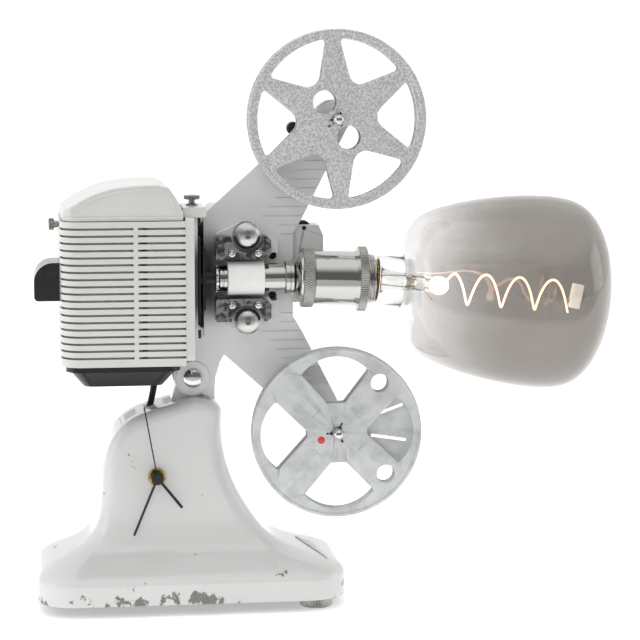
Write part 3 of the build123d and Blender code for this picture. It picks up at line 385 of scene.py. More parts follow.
def pressed_aluminium():
    """Satin pressed aluminium sheet: faint turned rings about the hub, painted highlights in sectors round the hub and
    a dull bloom.
    """
    made, tree, where = start_material("satin_pressed_aluminium")
    centred = add(tree, "VectorMath", {0: where, 1: tuple(lower_hub)}, operation="SUBTRACT")
    reach = add(tree, "VectorMath", {0: centred}, operation="LENGTH")
    rings_at = add(tree, "Math", {0: reach, 1: scale_of(0.7)}, operation="MULTIPLY")
    turned = add(tree, "TexNoise", {"W": rings_at, "Detail": 3.0, "Scale": 1.0}, noise_dimensions="1D")
    place = add(tree, "SeparateXYZ", {0: centred}).outputs
    turn = add(tree, "Math", {0: place[2], 1: place[0]}, operation="ARCTAN2")
    # Painted highlights: lighter sectors round the hub.
    painted_glints = add(tree, "TexNoise", {"W": turn, "Scale": 3.2, "Detail": 2.0}, noise_dimensions="1D")
    painted_glints = add(tree, "MapRange", {"Value": painted_glints, "From Min": 0.45, "From Max": 0.65,
                                    "To Max": 0.3}, **soft)
    bloom = add(tree, "TexNoise", {"Vector": where, "Scale": scale_of(14.0), "Detail": 5.0,
                                   "Roughness": 0.6})
    dull = add(tree, "MapRange", {"Value": bloom, "From Min": 0.35, "From Max": 0.7}, **soft)
    tone = add(tree, "Mix", {0: dull, 6: linear("D6D8D9"), 7: linear("BDBFC0")}, **tint)
    half_bloom = add(tree, "Math", {0: bloom, 1: 0.5}, operation="MULTIPLY")
    rough = add(tree, "Math", {0: turned, 1: half_bloom}, operation="ADD")
    return close_material(made, tree, {
        "Base Color": add(tree, "Mix", {0: painted_glints, 6: tone, 7: linear("E9EAEA")}, **tint), "Metallic": 0.55,
        "Roughness": add(tree, "MapRange", {"Value": rough, "From Min": 0.5, "From Max": 1.0,
                                            "To Min": 0.34, "To Max": 0.5}, **soft),
        "Normal": add(tree, "Bump", {"Height": turned, "Distance": 0.012 * MM})})


def bright_plating(name, plate, haze, pits):
    """Polished chrome or nickel plate: a clean mirror with faint haze and a few pin-head pits."""
    made, tree, where = start_material(name)
    spots = add(tree, "TexNoise", {"Vector": where, "Scale": scale_of(1.7), "Detail": 5.0,
                                   "Roughness": 0.7})
    spots = add(tree, "MapRange", {"Value": spots, "From Min": 0.66, "From Max": 0.72}, **soft)
    shown = add(tree, "Math", {0: spots, 1: pits}, operation="MULTIPLY")
    sunk = add(tree, "Math", {0: spots, 1: -1.0}, operation="MULTIPLY")
    film = add(tree, "TexNoise", {"Vector": where, "Scale": scale_of(11.0), "Detail": 4.0,
                                  "Roughness": 0.55})
    return close_material(made, tree, {
        "Base Color": add(tree, "Mix", {0: shown, 6: linear(plate), 7: linear("4E4942")}, **tint),
        "Roughness": add(tree, "MapRange", {"Value": film, "From Min": 0.35, "From Max": 0.75,
                                            "To Min": haze, "To Max": haze + 0.09}, **soft),
        "Metallic": 1.0, "Normal": add(tree, "Bump", {"Height": sunk, "Distance": 0.02 * MM})})


def chrome_with_painted_reflections():
    """Old chrome on the film shoes: dark and light cloudy patches in its colour are painted reflection, and it is a
    little rusty.
    """
    made, tree, where = start_material("shoe_chrome_painted_reflections_and_rust")
    # Painted reflection: this cloud pattern paints dark and light patches into the colour, and also varies the
    # roughness.
    cloud = add(tree, "TexNoise", {"Vector": where, "Scale": scale_of(5.0), "Detail": 7.0,
                                   "Roughness": 0.68})
    cloud = add(tree, "MapRange", {"Value": cloud, "From Min": 0.42, "From Max": 0.60}, **soft)
    rust = add(tree, "TexNoise", {"Vector": where, "Scale": scale_of(8.0), "Detail": 5.0, "Roughness": 0.6})
    rust = add(tree, "MapRange", {"Value": rust, "From Min": 0.62, "From Max": 0.70, "To Max": 0.7}, **soft)
    tone = add(tree, "Mix", {0: cloud, 6: linear("8E8F91"), 7: linear("4A4A4D")}, **tint)
    return close_material(made, tree, {
        "Base Color": add(tree, "Mix", {0: rust, 6: tone, 7: linear("6B5138")}, **tint), "Metallic": 1.0,
        "Roughness": add(tree, "MapRange", {"Value": cloud, "To Min": 0.08, "To Max": 0.30}, **soft),
        "Normal": add(tree, "Bump", {"Height": cloud, "Distance": 0.02 * MM})})


def turned_dome():
    """Turned and plated sprocket dome: brush lines round its axis make the bright and dark sectors of
    turned metal, browned in the middle dimple."""
    made, tree, where = start_material("turned_and_plated_dome")
    reaches = []
    for joint in ("upper_sprocket_turn", "lower_sprocket_turn"):
        hub = tuple(joints[joint]["pos_m"])
        gap = add(tree, "VectorMath", {0: where, 1: hub}, operation="SUBTRACT")
        flat = add(tree, "VectorMath", {0: gap, 1: (1.0, 0.0, 1.0)}, operation="MULTIPLY")
        reaches.append(add(tree, "VectorMath", {0: flat}, operation="LENGTH"))
    near = add(tree, "Math", {0: reaches[0], 1: reaches[1]}, operation="MINIMUM")
    brown = add(tree, "MapRange", {"Value": near, "From Min": 3.0 * MM, "From Max": 1.2 * MM,
                                   "To Max": 0.75}, **soft)
    lines = add(tree, "TexNoise", {"Vector": where, "Scale": scale_of(0.8), "Detail": 3.0,
                                   "Roughness": 0.6})
    lines = add(tree, "MapRange", {"Value": lines, "From Min": 0.35, "From Max": 0.65}, **soft)
    tone = add(tree, "Mix", {0: lines, 6: linear("BDBDBC"), 7: linear("DADADA")}, **tint)
    return close_material(made, tree, {
        "Base Color": add(tree, "Mix", {0: brown, 6: tone, 7: linear("7A6546")}, **tint),
        "Metallic": 1.0, "Roughness": 0.28, "Anisotropic": 0.85,
        "Tangent": add(tree, "Tangent", direction_type="RADIAL", axis="Y")})


def turned_steel(name, plate, haze):
    """Turned or knurled steel, nickel plated or plain: warm grey with dirt and painted shade between the ridges."""
    made, tree, where = start_material(name)
    # Painted shade with dirt: the colour is darkened where ambient occlusion finds the hollows between the ridges.
    hollow = add(tree, "AmbientOcclusion", {"Distance": 0.8 * MM}, samples=8).outputs["AO"]
    grime_and_painted_shade = add(tree, "MapRange", {"Value": hollow, "From Min": 0.55, "From Max": 0.15}, **soft)
    film = add(tree, "TexNoise", {"Vector": where, "Scale": scale_of(6.0), "Detail": 4.0,
                                  "Roughness": 0.55})
    tone = add(tree, "Mix", {0: film, 6: linear(plate), 7: linear("9C9A95")}, **tint)
    dulled = add(tree, "TexNoise", {"Vector": where, "Scale": scale_of(2.2), "Detail": 4.0,
                                    "Roughness": 0.55})
    return close_material(made, tree, {
        "Base Color": add(tree, "Mix", {0: grime_and_painted_shade, 6: tone, 7: linear("3B3833")}, **tint), "Metallic": 1.0,
        "Roughness": add(tree, "MapRange", {"Value": dulled, "From Min": 0.3, "From Max": 0.7,
                                            "To Min": haze - 0.05, "To Max": haze + 0.1}, **soft)})


def black_finish(name, black, rough, peel_mm):
    """Black lacquer, oxide or moulded plastic, told apart by its gloss, with a little pale dust."""
    made, tree, where = start_material(name)
    dust = add(tree, "TexNoise", {"Vector": where, "Scale": scale_of(1.1), "Detail": 5.0, "Roughness": 0.7})
    dust = add(tree, "MapRange", {"Value": dust, "From Min": 0.66, "From Max": 0.76, "To Max": 0.18},
               **soft)
    dulled = add(tree, "TexNoise", {"Vector": where, "Scale": scale_of(7.0), "Detail": 3.0,
                                    "Roughness": 0.55})
    peel = add(tree, "TexNoise", {"Vector": where, "Scale": scale_of(peel_mm), "Detail": 2.0,
                                  "Roughness": 0.55})
    return close_material(made, tree, {
        "Base Color": add(tree, "Mix", {0: dust, 6: linear(black), 7: linear("77746E")}, **tint),
        "Roughness": add(tree, "MapRange", {"Value": dulled, "From Min": 0.3, "From Max": 0.7,
                                            "To Min": rough, "To Max": rough + 0.12}, **soft),
        "IOR": 1.5, "Normal": add(tree, "Bump", {"Height": peel, "Distance": 0.02 * MM})})


def turned_brass():
    """Lathe-turned brass, lightly tarnished."""
    made, tree, where = start_material("turned_brass")
    tarnish = add(tree, "TexNoise", {"Vector": where, "Scale": scale_of(4.0), "Detail": 5.0,
                                     "Roughness": 0.55})
    tarnish = add(tree, "MapRange", {"Value": tarnish, "From Min": 0.4, "From Max": 0.7}, **soft)
    cut = add(tree, "TexNoise", {"Vector": where, "Scale": scale_of(1.5), "Detail": 3.0, "Roughness": 0.55})
    return close_material(made, tree, {
        "Base Color": add(tree, "Mix", {0: tarnish, 6: linear("CDAA63"), 7: linear("8D6E3C")}, **tint),
        "Metallic": 1.0, "Roughness": add(tree, "MapRange", {"Value": cut, "From Min": 0.3, "From Max": 0.7,
                                                             "To Min": 0.18, "To Max": 0.34}, **soft)})


def white_tube():
    """Plain white moulded tube over the nipple: matt, a little yellowed."""
    made, tree, where = start_material("white_moulded_tube")
    drift = add(tree, "TexNoise", {"Vector": where, "Scale": scale_of(12.0), "Detail": 3.0,
                                   "Roughness": 0.55})
    skin = add(tree, "TexNoise", {"Vector": where, "Scale": scale_of(0.9), "Detail": 2.0,
                                  "Roughness": 0.55})
    return close_material(made, tree, {
        "Base Color": add(tree, "Mix", {0: drift, 6: linear("EBEBE8"), 7: linear("F4F4F2")}, **tint),
        "Roughness": 0.45, "IOR": 1.48, "Subsurface Weight": 0.08, "Subsurface Scale": 2 * MM,
        "Normal": add(tree, "Bump", {"Height": skin, "Distance": 0.01 * MM})})


def glazed_porcelain():
    """White glazed porcelain inside the holder: a soft uneven gloss."""
    made, tree, where = start_material("glazed_porcelain")
    drift = add(tree, "TexNoise", {"Vector": where, "Scale": scale_of(9.0), "Detail": 3.0,
                                   "Roughness": 0.55})
    skin = add(tree, "TexNoise", {"Vector": where, "Scale": scale_of(4.0), "Detail": 2.0,
                                  "Roughness": 0.55})
    return close_material(made, tree, {
        "Base Color": add(tree, "Mix", {0: drift, 6: linear("EFEDE6"), 7: linear("E2DFD6")}, **tint),
        "Roughness": 0.1, "IOR": 1.54, "Coat Weight": 0.4,
        "Normal": add(tree, "Bump", {"Height": skin, "Distance": 0.02 * MM})})


def smoked_glass():
    """Blown glass with a thin smoke-grey film: clear by the neck, then grey and faintly mirrored
    towards the crown, with slow cloudy unevenness in the film."""
    made, tree, where = start_material("smoke_coated_blown_glass")
    gap = add(tree, "VectorMath", {0: where, 1: tuple(bulb_start)}, operation="SUBTRACT")
    along = add(tree, "VectorMath", {0: gap, 1: tuple(bulb_way)}, operation="DOT_PRODUCT")
    cloud = add(tree, "TexNoise", {"Vector": where, "Scale": scale_of(38.0), "Detail": 3.0,
                                   "Roughness": 0.55})
    cloud = add(tree, "Math", {0: cloud, 1: 0.5}, operation="SUBTRACT")
    cloud = add(tree, "Math", {0: cloud, 1: 30 * MM}, operation="MULTIPLY")
    along = add(tree, "Math", {0: along, 1: cloud}, operation="ADD")
    smoke = add(tree, "MapRange", {"Value": along, "From Min": 4 * MM, "From Max": 108 * MM}, **soft)
    return close_material(made, tree, {
        "Base Color": add(tree, "Mix", {0: smoke, 6: linear("FFFFFF"), 7: linear("B9B5B1")}, **tint),
        "Metallic": add(tree, "Math", {0: smoke, 1: 0.06}, operation="MULTIPLY"),
        "Roughness": 0.0, "IOR": 1.45, "Transmission Weight": 1.0})


def drawn_glass():
    """Clear drawn glass of the stem, with faint draw lines."""
    made, tree, where = start_material("clear_drawn_glass")
    drawn = add(tree, "Mapping", {"Vector": where, "Scale": (0.2, 1.0, 1.0)})
    lines = add(tree, "TexNoise", {"Vector": drawn, "Scale": scale_of(6.0), "Detail": 2.0,
                                   "Roughness": 0.5})
    return close_material(made, tree, {
        "Base Color": linear("F6F7F6"), "Roughness": 0.0, "IOR": 1.45, "Transmission Weight": 1.0,
        "Normal": add(tree, "Bump", {"Height": lines, "Distance": 0.05 * MM})})


def glowing(name, heat, strength):
    """Incandescent tungsten, unevenly hot and brighter than anything round it."""
    made, tree, where = start_material(name)
    uneven = add(tree, "TexNoise", {"Vector": where, "Scale": scale_of(1.0), "Detail": 2.0,
                                    "Roughness": 0.55})
    uneven = add(tree, "Math", {0: uneven, 1: 0.25}, operation="MULTIPLY")
    return close_material(made, tree, {
        "Base Color": linear(heat), "Roughness": 0.6, "Emission Strength": strength,
        "Emission Color": add(tree, "Mix", {0: uneven, 6: linear(heat), 7: linear("FFFFFF")}, **tint)})


def lit_mica():
    """Mica end plate of the lamp, with a painted glow standing for the light of the coil beside it."""
    made, tree, where = start_material("mica_lit_by_the_coil")
    flakes = add(tree, "TexNoise", {"Vector": where, "Scale": scale_of(5.0), "Detail": 4.0,
                                    "Roughness": 0.55})
    # Painted light: the plate glows as if lit by the coil.
    return close_material(made, tree, {
        "Base Color": linear("E8E6E0"), "Roughness": 0.4, "Emission Strength": 1.5,
        "Emission Color": add(tree, "Mix", {0: flakes, 6: linear("E6E3DC"), 7: linear("FFFDF8")}, **tint)})


def moulded_rubber():
    """Black moulded rubber: dull, with a dusty bloom."""
    made, tree, where = start_material("moulded_rubber")
    bloom = add(tree, "TexNoise", {"Vector": where, "Scale": scale_of(3.0), "Detail": 5.0,
                                   "Roughness": 0.55})
    skin = add(tree, "TexNoise", {"Vector": where, "Scale": scale_of(0.6), "Detail": 3.0,
                                  "Roughness": 0.55})
    return close_material(made, tree, {
        "Base Color": add(tree, "Mix", {0: bloom, 6: linear("1B1B1B"), 7: linear("2E2D2B")}, **tint),
        "Roughness": 0.7, "IOR": 1.5, "Normal": add(tree, "Bump", {"Height": skin, "Distance": 0.03 * MM})})


def flex_cover():
    """Black extruded PVC round the two cores of the lead."""
    made, tree, where = start_material("twin_flex_cover")
    film = add(tree, "TexNoise", {"Vector": where, "Scale": scale_of(2.0), "Detail": 4.0,
                                  "Roughness": 0.55})
    skin = add(tree, "TexNoise", {"Vector": where, "Scale": scale_of(0.8), "Detail": 2.0,
                                  "Roughness": 0.55})
    return close_material(made, tree, {
        "Base Color": add(tree, "Mix", {0: film, 6: linear("161616"), 7: linear("2A2A2A")}, **tint),
        "Roughness": 0.42, "IOR": 1.5, "Normal": add(tree, "Bump", {"Height": skin,
                                                                    "Distance": 0.02 * MM})})


def battery_film():
    """Printed film round the dry cell, plain two-tone with no lettering."""
    made, tree, where = start_material("plain_battery_film")
    along = add(tree, "SeparateXYZ", {0: where}).outputs[0]
    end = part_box("clock_battery")[1].x
    band = add(tree, "MapRange", {"Value": along, "From Min": end - 14 * MM,
                                  "From Max": end - 13 * MM}, **soft)
    skin = add(tree, "TexNoise", {"Vector": where, "Scale": scale_of(3.0), "Detail": 2.0,
                                  "Roughness": 0.55})
    return close_material(made, tree, {
        "Base Color": add(tree, "Mix", {0: band, 6: linear("24262B"), 7: linear("B88A45")}, **tint),
        "Roughness": 0.3, "IOR": 1.5, "Normal": add(tree, "Bump", {"Height": skin, "Distance": 0.01 * MM})})


def red_enamel():
    """A dab of red enamel in a pressed dimple."""
    made, tree, where = start_material("red_enamel_dab")
    drift = add(tree, "TexNoise", {"Vector": where, "Scale": scale_of(1.0), "Detail": 3.0,
                                   "Roughness": 0.55})
    return close_material(made, tree, {
        "Base Color": add(tree, "Mix", {0: drift, 6: linear("D8402F"), 7: linear("C5372A")}, **tint),
        "Roughness": 0.3, "Coat Weight": 0.3})


enamel = stoved_enamel()
grey_paint = sprayed_satin_grey()
housing = aged_gloss_paint()
hammered = hammered_enamel()
aluminium = pressed_aluminium()
chrome = bright_plating("polished_chrome", "D9D9DA", 0.05, 0.12)
shell_chrome = bright_plating("polished_nickel_shell", "C6C5C2", 0.04, 0.05)
shoe_chrome = chrome_with_painted_reflections()
dome_chrome = turned_dome()
knurled = turned_steel("nickel_plated_steel", "B9B7B2", 0.24)
plain_steel = turned_steel("turned_steel", "A5A4A1", 0.3)
black_steel = black_finish("black_oxide_steel", "121212", 0.35, 2.0)
lacquer = black_finish("gloss_black_lacquer", "0D0D0D", 0.08, 6.0)
plastic = black_finish("moulded_black_plastic", "191919", 0.42, 2.0)
brass = turned_brass()
sleeve_white = white_tube()
porcelain = glazed_porcelain()
smoked = smoked_glass()
stem_clear = drawn_glass()
hot_wire = glowing("incandescent_coil", "FFC896", 6.0)
hot_knot = glowing("incandescent_joint", "FFD2A0", 9.0)
mica = lit_mica()
rubber = moulded_rubber()
flex = flex_cover()
cell_film = battery_film()
red_dab = red_enamel()

finishes = {
    "white_enamel": enamel, "grey_paint": grey_paint, "hammered_grey": hammered, "housing_paint": housing,
    "bare_aluminium": aluminium, "polished_chrome": chrome, "knurled_steel": knurled,
    "plain_steel": plain_steel, "black_steel": black_steel, "black_gloss": lacquer,
    "black_plastic": plastic, "brass": brass, "white_sleeve": sleeve_white, "white_ceramic": porcelain,
    "clear_glass": smoked, "stem_glass": stem_clear, "glowing_wire": hot_wire, "rubber": rubber,
    "lead_cover": flex, "battery_wrap": cell_film,
}
# The threaded pipe gets black oxide so that it sits dark in the painted shade beside the gate.
node_finish = {"threaded_pipe": black_steel, "pressure_plate": black_steel,
               "film_shoes": shoe_chrome,
               "upper_sprocket": dome_chrome, "lower_sprocket": dome_chrome}

# rounding of each CAD node's edges, in mm; the rest get small_round
small_round = 0.25
edge_round = {
    "lamp_housing": 0.7, "housing_lid": 1.6, "gate_frame": 0.7, "housing_tray": 1.0, "rear_hood": 6.0,
    "mechanism_plate": 0.3, "mechanism_case": 0.6, "upper_reel_front": 0.75, "upper_reel_back": 0.6,
    "lower_reel_front": 0.35, "lower_reel_back": 0.35, "shoe_bases": 0.8, "film_shoes": 0.6,
    "lens_mount": 0.35, "column_cap": 0.5, "base_casting": 0.8, "toothed_washer": 0.5,
    "insulating_sleeve": 0.4, "rubber_feet": 0.5, "clock_movement": 0.6,
}


def finish_cad_nodes():
    """Every CAD node gets its slot's material and rounded edges."""
    slot_of = {part["node"]: part["material_slot"] for part in frame["record"]["subparts"]}
    for name, node in nodes.items():
        finish = node_finish.get(name, finishes[slot_of[name]])
        node.data.materials.clear()
        node.data.materials.append(finish)
        weld = node.modifiers.new("weld", "WELD")
        weld.merge_threshold = 2e-6
        bevel = node.modifiers.new("rounded_edges", "BEVEL")
        bevel.width = edge_round.get(name, small_round) * MM
        bevel.segments = 5 if bevel.width > 2 * MM else 2
        bevel.limit_method = "ANGLE"
        bevel.angle_limit = radians(35)
        bevel.use_clamp_overlap = True
        smooth = node.modifiers.new("even_shading", "WEIGHTED_NORMAL")
        smooth.weight = 50
        smooth.keep_sharp = False


finish_cad_nodes()


# ---------------------------------------------------------------- lamp
def glass_profile():
    """Half outline of the lamp glass in mm: a neck, a sharp shoulder and a squarish globe."""
    neck, globe = 17.8, 69.4
    rows = [(28.6, neck), (29.6, 22.0), (30.6, 30.0), (32.4, 38.0), (36.5, 45.5), (44.0, 51.5), (57.0, 57.0),
            (75.0, 62.2), (97.0, 66.6), (118.0, globe - 0.4), (136.0, globe), (151.0, globe * 0.963),
            (162.0, globe * 0.86), (170.3, globe * 0.685), (175.3, globe * 0.485), (178.2, globe * 0.24),
            (179.0, 0.0)]
    path = smooth_path([Vector((a, r, 0)) for a, r in rows], 96)
    return [(9.6, 0.0), (9.6, neck - 1.6), (10.1, neck - 0.5), (11.2, neck)] + \
        [(p.x, max(p.y, 0.0)) for p in path]


def make_glass():
    """The blown envelope, with an outer and an inner wall."""
    outer = glass_profile()
    outer[-1] = (outer[-1][0], 0.0)
    wall = 0.8
    inner = []
    for i, (along, radius) in enumerate(outer):
        a, b = outer[max(i - 1, 0)], outer[min(i + 1, len(outer) - 1)]
        run, rise = b[0] - a[0], b[1] - a[1]
        size = max((run * run + rise * rise) ** 0.5, 1e-6)
        inner.append((along + rise / size * wall, max(radius - run / size * wall, 0.0)))
    inner[0] = (outer[0][0] + wall, 0.0)
    inner[1] = (outer[0][0] + wall, outer[1][1] - wall)
    inner[-1] = (outer[-1][0] - wall, 0.0)
    shell = rings(outer, bulb_start, bulb_way, 128)
    lining = rings(inner, bulb_start, bulb_way, 128)
    lining = (lining[0], [tuple(reversed(face)) for face in lining[1]])
    verts, faces = joined(shell, lining)
    new_piece("lamp_glass", verts, faces, "bulb", "clear_glass", smoked, ["bulb_glass"], 60)


def on_bulb(along, rise, toward):
    """A point in the lamp: mm along its axis, up, and towards the film side."""
    up, side = across(bulb_way)
    return bulb_start + (bulb_way * along + up * rise + Vector((0, -1, 0)) * toward) * MM


def make_stem():
    """Clear glass mount: a flared tube that ends in a flat pinch round two lead wires."""
    profile = [(11.2, 14.6), (12.5, 11.0), (15.0, 8.6), (19.0, 7.2), (26.0, 6.5), (34.0, 6.2), (41.0, 6.0),
               (45.0, 4.6), (47.5, 2.6), (48.2, 0.0)]
    inside = [(11.2, 13.6), (12.6, 9.9), (15.2, 7.6), (19.0, 6.2), (26.0, 5.4), (33.0, 4.8), (37.5, 3.0),
              (39.0, 0.0)]
    shell = rings(profile, bulb_start, bulb_way, 48)
    lining = rings(inside, bulb_start, bulb_way, 48)
    lining = (lining[0], [tuple(reversed(face)) for face in lining[1]])
    rim = [(k, (k + 1) % 48, len(shell[0]) + (k + 1) % 48, len(shell[0]) + k) for k in range(48)]
    verts, faces = joined(shell, lining)
    new_piece("stem_glass", verts, faces + [tuple(reversed(face)) for face in rim], "bulb", "stem_glass",
              stem_clear, ["bulb_stem"], 60)


coil_pitch = 24.8                 # mm from turn to turn
coil_radius = 11.2
coil_start = 60.0                 # first quarter turn, mm from the front ring
coil_turns = 3.72


def make_filament():
    """The glowing spiral, its hot joint, the two lead wires and the end plate."""
    path = []
    steps = 260
    for k in range(steps + 1):
        turn = coil_turns * k / steps
        swell = min(1.0, 0.35 + turn * 2.2)
        angle = 2 * pi * (turn - 0.25)
        path.append(on_bulb(coil_start + coil_pitch * turn, -1.9 + coil_radius * swell * cos(angle),
                            coil_radius * swell * sin(angle)))
    new_piece("filament_coil", *tube(path, 0.75, 12), "bulb", "glowing_wire", hot_wire, ["filament"], 60)
    knot = [(49.0 + 7.2 * (1 - cos(pi * k / 14)), 6.6 * sin(pi * k / 14)) for k in range(15)]
    new_piece("filament_joint", *rings([(a, r if 0 < i < 14 else 0.0) for i, (a, r) in enumerate(knot)],
                                       on_bulb(0, -0.8, 0), bulb_way, 32),
              "bulb", "glowing_wire", hot_knot, (), 60)
    upper = [on_bulb(*p) for p in ((12.4, 2.6, 0.4), (17.0, 3.9, 0.4), (27.0, 4.3, 0.2), (38.0, 3.4, 0.2),
                                   (46.0, 3.2, 0.4), (51.0, 2.4, 0.6))]
    lower = [on_bulb(*p) for p in ((12.4, -2.8, -0.4), (20.0, -3.4, -0.2), (31.0, -3.6, 0.0), (38.0, -3.2, 0.2),
                                   (46.0, -5.4, 0.8), (52.5, -11.4, 1.6))]
    wires = joined(tube(smooth_path(upper, 40), 0.42, 8), tube(smooth_path(lower, 40), 0.42, 8))
    new_piece("lead_wires", *wires, "bulb", "plain_steel", plain_steel, (), 60)
    anchor = tube(smooth_path([path[-1], on_bulb(152.5, -6.0, 0.0), on_bulb(156.0, -2.0, 0.0)], 24), 0.4, 8)
    loop = tube([on_bulb(162.2 + 2.0 * sin(pi * k / 12), 2.2 * cos(pi * k / 12) - 1.0, 0) for k in range(13)], 0.35, 8)
    new_piece("filament_anchor", *joined(anchor, loop), "bulb", "plain_steel", plain_steel, (), 60)
    tilt = Matrix.Rotation(radians(12), 4, "Y")
    new_piece("end_plate", *rounded_block((7.6, 7.6, 17.5), on_bulb(157.8, -1.2, 0), 0.5, tilt),
              "bulb", "white_ceramic", mica)


make_glass()
make_stem()
make_filament()


# ---------------------------------------------------------------- lamp holder
def diamond_knurl(count, pitch, depth):
    """Two crossing sets of ridges, wound left and right."""
    def swell(along, angle, radius):
        turn = angle * count / (2 * pi)
        one = abs(((turn + along / pitch) % 1.0) * 2 - 1)
        two = abs(((turn - along / pitch) % 1.0) * 2 - 1)
        return -depth * (1 - min(one, two) * 1.6) if min(one, two) < 0.625 else 0.0
    return swell


def straight_knurl(count, depth, low, high):
    """Ridges along the axis between two stations."""
    def swell(along, angle, radius):
        if not low <= along <= high:
            return 0.0
        return -depth * abs(((angle * count / (2 * pi)) % 1.0) * 2 - 1)
    return swell


def make_holder():
    """Cap, two knurled rings, polished shell and threaded end of the screw lamp holder."""
    dome = closed([(0.7, 5.6), (0.7, 11.6), (1.1, 12.4), (1.9, 14.2), (3.0, 16.2), (4.2, 17.6), (5.4, 18.5),
                   (7.0, 18.9), (9.6, 18.9), (9.6, 17.7), (6.6, 17.6), (4.2, 16.4), (2.6, 13.8), (1.9, 12.0),
                   (1.9, 5.6)])
    new_piece("holder_cap", *rings(dome, collar_end, socket_way, 96), "head", "polished_chrome", shell_chrome,
              ["socket_cap"])
    rear_body = [(5.7, 18.95), (5.7, 20.6), (6.1, 21.15)] + stepped(6.3, 13.3, 21.3, 0.28) + \
        [(13.5, 21.15), (13.9, 20.6), (13.9, 18.95)]
    knurl = diamond_knurl(72, 3.4, 0.42)
    rear = rings(closed(rear_body), collar_end, socket_way, 432,
                 lambda a, t, r: knurl(a, t, r) if 6.25 < a < 13.35 and r > 21.2 else 0.0)
    new_piece("holder_rear_ring", *rear, "head", "knurled_steel", knurled, ["socket_rings"], 60)
    front_body = [(45.9, 19.65), (45.9, 21.6), (46.2, 22.6)] + stepped(46.5, 51.6, 23.3, 0.5) + \
        [(51.9, 22.6), (52.2, 21.6), (52.2, 19.65)]
    ridges = straight_knurl(84, 0.55, 46.4, 51.7)
    new_piece("holder_front_ring", *rings(closed(front_body), collar_end, socket_way, 420, ridges),
              "head", "knurled_steel", knurled, (), 60)
    shell = [(9.9, 14.5), (9.9, 18.9), (13.9, 18.9), (14.3, 19.45), (14.9, 19.6), (40.8, 19.6), (41.8, 19.45),
             (42.6, 19.5), (44.0, 20.0), (45.6, 20.9), (46.3, 21.2), (46.45, 20.9), (46.5, 19.6), (51.9, 19.6)]
    thread = [(52.0, 17.8)] + stepped(52.4, 57.3, 17.6, 0.22) + [(57.7, 17.3), (57.9, 16.9), (57.9, 16.6),
                                                               (12.4, 16.6), (12.4, 14.5)]
    def wind(along, angle, radius):
        """Coarse thread, cut between two stations on the outside only."""
        if not (52.3 < along < 57.4 and radius > 17.0):
            return 0.0
        return 0.32 * cos(2 * pi * along / 1.7 - angle)
    new_piece("holder_shell", *rings(closed(shell + thread), collar_end, socket_way, 128, wind),
              "head", "polished_chrome", shell_chrome, ["socket_shell"])
    start = Vector((0, pipe_line.y, pipe_line.z))
    x0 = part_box("pipe_bushes")[0].x / MM
    x_sleeve0, x_sleeve1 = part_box("insulating_sleeve")[0].x / MM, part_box("insulating_sleeve")[1].x / MM
    end = collar_end.x / MM
    bush = closed([(x0, 5.05), (x0, 8.2), (x0 + 0.4, 9.0), (x0 + 2.0, 9.2), (x0 + 2.3, 8.7), (x0 + 2.9, 8.7),
                   (x0 + 3.2, 9.2), (x_sleeve0 - 0.3, 9.2), (x_sleeve0, 8.8), (x_sleeve0, 5.05)])
    neck = closed([(x_sleeve1, 5.05), (x_sleeve1, 10.0), (x_sleeve1 + 0.3, 10.2), (end - 6.9, 10.2),
                   (end - 6.6, 9.9), (end - 6.4, 9.9), (end - 6.4, 5.05)])
    collar = closed([(end - 6.4, 5.05), (end - 6.4, 11.4), (end - 5.9, 12.1), (end - 3.6, 12.2),
                     (end - 3.3, 11.7), (end - 2.7, 11.7), (end - 2.4, 12.2), (end - 0.5, 12.1),
                     (end, 11.5), (end, 5.05)])
    parts = joined(*(rings(profile, start, optical_way, 96) for profile in (bush, neck, collar)))
    new_piece("pipe_bushes_turned", *parts, "head", "polished_chrome", shell_chrome, ["pipe_bushes"], 30)


make_holder()


# ---------------------------------------------------------------- thumbscrews, levelling foot, focus wheel
def knob(name, body, node, way, replaced_slot, finish, shape, count, depth, low, high):
    """A knurled knob turned about way through the middle of its CAD node."""
    start = middle(node)
    reach = abs((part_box(node)[1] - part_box(node)[0]).dot(Vector([abs(c) for c in way]))) / 2
    base = start - way * reach
    ridges = straight_knurl(count, depth, low, high)
    rim = max(r for _, r in shape)
    made = rings(shape, base, way, count * 6, lambda a, t, r: ridges(a, t, r) if r > rim - 0.35 else 0.0)
    new_piece(name, *made, body, replaced_slot, finish, [node], 50)


